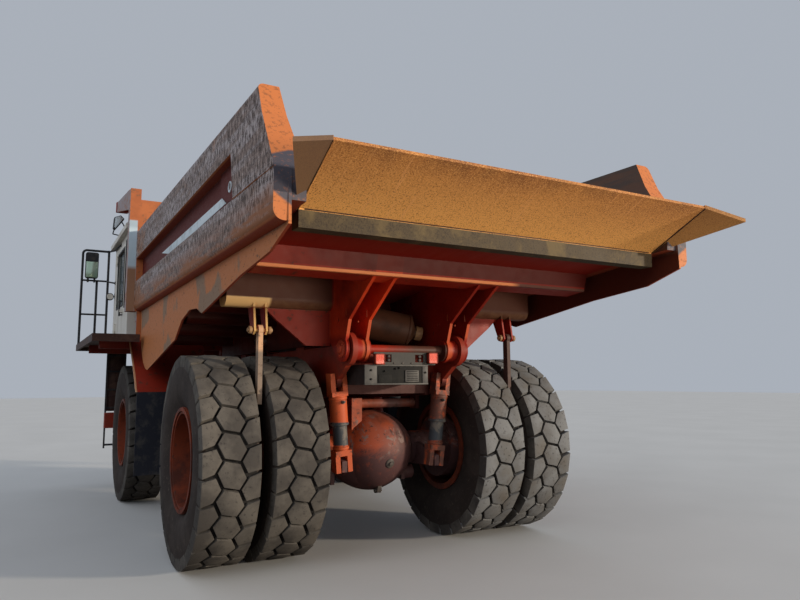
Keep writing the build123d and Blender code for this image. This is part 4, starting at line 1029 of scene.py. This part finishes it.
def roof_lamp():
    # Work lamp on the edge of the cab's roof: its hood, pale cover and U-shaped stand
    hood = plate([at(5.050, 1.850, 4.235), at(5.050, 1.905, 4.290), at(5.050, 2.000, 4.250),
                  at(5.050, 2.010, 4.075), at(5.050, 1.975, 4.060)], (0.13, 0, 0))
    settle(hood, "roof_lamp_hood", black_steel, "chassis", 0.006)
    cover = plate([at(5.050, 1.868, 4.235), at(5.050, 1.908, 4.278), at(5.050, 1.988, 4.242),
                   at(5.050, 1.997, 4.085), at(5.050, 1.978, 4.075)], (-0.008, 0, 0))
    settle(cover, "roof_lamp_cover", stripe_paint, "chassis", 0.003)
    near = [(5.11, 1.800, 3.940), (5.11, 1.800, 4.050), (5.11, 1.880, 4.190)]
    far = [(5.11, 1.820, 3.955), (5.11, 2.010, 3.985), (5.11, 1.985, 4.090)]
    settle(joined(bars_along([near, far], 0.009, 12)), "roof_lamp_stand", black_steel, "chassis", 0.001)


def spot_mirror():
    # Round mirror on a short arm at the cab's front edge; its face has the cream cab paint as a painted
    # reflection
    centre = at(5.660, 1.955, 3.040)
    head = turned([(0.001, -0.020), (0.052, -0.020), (0.060, -0.012), (0.062, 0.010), (0.040, 0.030),
                   (0.001, 0.036)], centre, (1, 0, 0), 40)
    settle(head, "spot_mirror_shell", black_steel, "chassis", 0.001)
    face = turned([(0.001, -0.022), (0.047, -0.022), (0.051, -0.018), (0.001, -0.018)], centre, (1, 0, 0), 40)
    settle(face, "spot_mirror_face", cream_cab, "chassis")
    arm = rod(centre + Vector((0.03, 0, 0)), at(5.695, 1.878, 3.060), 0.008, 12)
    foot = slab(at(5.670, 1.878, 3.020), at(5.720, 1.884, 3.100))
    settle(joined([arm, foot]), "spot_mirror_arm", black_steel, "chassis", 0.001)


def corner_mirrors():
    # Their faces, the second post of each corner rail, and the left rail's two arms back to the cab
    glass = slab(at(5.868, 2.140, 3.375), at(5.882, 2.320, 3.640))
    pair(glass, "mirror_glass", mirror_face, "chassis", 0.004)
    post = [(5.94, 2.140, 2.250), (5.94, 2.140, 3.330)]
    high_arm = [(5.94, 1.970, 3.838), (5.70, 1.905, 3.825), (5.05, 1.890, 3.800)]
    low_arm = [(5.94, 1.990, 3.330), (5.80, 1.960, 3.300), (5.66, 1.885, 3.270)]
    bars = bars_along([post], 0.019) + bars_along([high_arm, low_arm], 0.013)
    for x, z in ((5.05, 3.800), (5.66, 3.270)):
        bars.append(slab(at(x - 0.035, 1.879, z - 0.025), at(x + 0.035, 1.888, z + 0.025)))
    settle(joined(bars), "mirror_arms_left", black_steel, "chassis", 0.001)
    post = rod(at(5.94, -2.140, 2.250), at(5.94, -2.140, 3.330), 0.019)
    settle(post, "mirror_post_right", black_steel, "chassis", 0.001)


def ladder_back():
    # Closed plate behind the upper rungs, with a folded edge on each side and three ribs
    parts = [slab(at(5.900, 1.652, 1.160), at(5.906, 1.908, 2.150))]
    parts += [slab(at(5.880, y - 0.004, 1.160), at(5.906, y + 0.004, 2.150)) for y in (1.656, 1.904)]
    parts += [slab(at(5.894, 1.66, z), at(5.902, 1.90, z + 0.02)) for z in (1.40, 1.65, 1.90)]
    pair(joined(parts), "ladder_back", deck_paint, "chassis", 0.001)


def wiper():
    # Arm and blade parked low on the front window
    pivot = rod_along(5.752, 5.782, 1.560, 2.880, 0.016)
    arm = rod(at(5.776, 1.560, 2.880), at(5.776, 1.300, 3.130), 0.007, 12)
    blade = rod(at(5.770, 1.060, 2.960), at(5.770, 1.540, 3.300), 0.009, 12)
    settle(joined([pivot, arm, blade]), "front_wiper", black_steel, "chassis", 0.001)


def hood_trim():
    # Louvre slats, lifting handles and the cooling-water cap on the hood
    slats = []
    for step in range(9):
        x = 4.15 + step * 0.085
        outline = [at(x, -0.55, 2.618), at(x + 0.05, -0.55, 2.618), at(x + 0.05, -0.55, 2.640)]
        slats.append(plate(outline, (0, 0.52, 0)))
    settle(joined(slats), "hood_louvres", cream_cab, "chassis", 0.003)
    cap = turned([(0.001, 0.050), (0.042, 0.050), (0.050, 0.042), (0.050, 0.018), (0.062, 0.014),
                  (0.062, -0.004), (0.001, -0.004)], at(5.45, -0.25, 2.620), (0, 0, 1), 36)
    settle(cap, "cooling_water_cap", iron, "chassis", 0.001)
    handles = []
    for y in (-0.58, 0.36):
        handles += [rod(at(x, y, 2.618), at(x, y, 2.665), 0.008, 12) for x in (5.15, 5.30)]
        handles.append(rod_along(5.145, 5.305, y, 2.662, 0.009, 12))
    settle(joined(handles), "hood_handles", black_steel, "chassis", 0.001)


def tank_trim():
    # Filler cap with its grip on each tank
    cap = turned([(0.001, 0.046), (0.058, 0.046), (0.066, 0.036), (0.066, 0.014), (0.074, 0.010),
                  (0.074, -0.006), (0.001, -0.006)], at(1.62, 1.280, 1.480), (0, 0, 1), 40)
    grip = slab(at(1.575, 1.272, 1.522), at(1.665, 1.288, 1.536))
    pair(joined([cap, grip]), "tank_cap", iron, "chassis", 0.001)


cab_windows()
door_handle()
canopy_corner()
roof_lamp()
spot_mirror()
corner_mirrors()
ladder_back()
wiper()
hood_trim()
tank_trim()


# Floor, light and camera


def lamp(name, kind, energy, colour, turn):
    # A light and its turn
    light = bpy.data.lights.new(name, kind)
    light.energy = energy
    light.color = colour
    stand = bpy.data.objects.new(name, light)
    bpy.context.collection.objects.link(stand)
    stand.rotation_euler = turn.to_euler()
    return stand


def studio():
    deselect()
    bpy.ops.mesh.primitive_plane_add(size=160, location=(0, 0, 0))
    ground = bpy.context.object
    ground.name = "studio_floor"
    floor = Finish("pale studio floor", (0.62, 0.62, 0.61), 0.9)
    floor.over((0.58, 0.58, 0.57), (floor.noise(0.6, 4, 0.5), 0.3, 0.7))
    seen = floor.node("LightPath", {}).outputs["Is Camera Ray"]
    floor.over((0.22, 0.20, 0.18), floor.math("SUBTRACT", 1.0, seen))
    ground.data.materials.append(floor.done())
    world = bpy.data.worlds.new("studio")
    bpy.context.scene.world = world
    world.use_nodes = True
    back = world.node_tree.nodes["Background"]
    back.inputs["Color"].default_value = (0.80, 0.87, 0.98, 1)
    back.inputs["Strength"].default_value = 0.50
    warm = (1.0, 0.86, 0.68)
    key = lamp("key", "SUN", 3.0, warm, Vector((-7, -8, 1.7)).to_track_quat("Z", "Y"))
    key.data.angle = radians(4)
    fill = lamp("fill", "SUN", 0.6, (0.95, 0.97, 1.0), Vector((-5, 8, 6)).to_track_quat("Z", "Y"))
    fill.data.angle = radians(40)
    # A low board behind the truck throws warm light up under its bed
    place = Vector((-12.5, -3.0, 1.2))
    aim = Vector((-3.5, 0, 4.2)) - place
    board = lamp("low board", "AREA", 90, warm, aim.to_track_quat("-Z", "Y"))
    board.location = place
    board.data.shape = "RECTANGLE"
    board.data.size = 9
    board.data.size_y = 2
    board.data.spread = radians(55)


def photo_camera():
    # The camera that was solved from the photo, which is 800 pixels wide
    focal_pixels = 669
    wide_pixels = 800
    data = bpy.data.cameras.new("photo camera")
    data.sensor_fit = "HORIZONTAL"
    data.sensor_width = 36
    data.lens = data.sensor_width * focal_pixels / wide_pixels
    data.clip_end = 400
    camera = bpy.data.objects.new("photo camera", data)
    bpy.context.collection.objects.link(camera)
    yaw = radians(-29.21)
    pitch = radians(6.98)
    roll = radians(-0.32)
    ahead = Vector((cos(yaw) * cos(pitch), sin(yaw) * cos(pitch), sin(pitch)))
    level = Vector((sin(yaw), -cos(yaw), 0))
    above = level.cross(ahead)
    across = level * cos(roll) + above * sin(roll)
    above = above * cos(roll) - level * sin(roll)
    turn = Matrix((across, above, -ahead)).transposed().to_4x4()
    camera.matrix_world = Matrix.Translation((-7.773, 3.122, 1.614)) @ turn
    bpy.context.scene.camera = camera


studio()
photo_camera()
bpy.context.scene.view_settings.view_transform = "Standard"
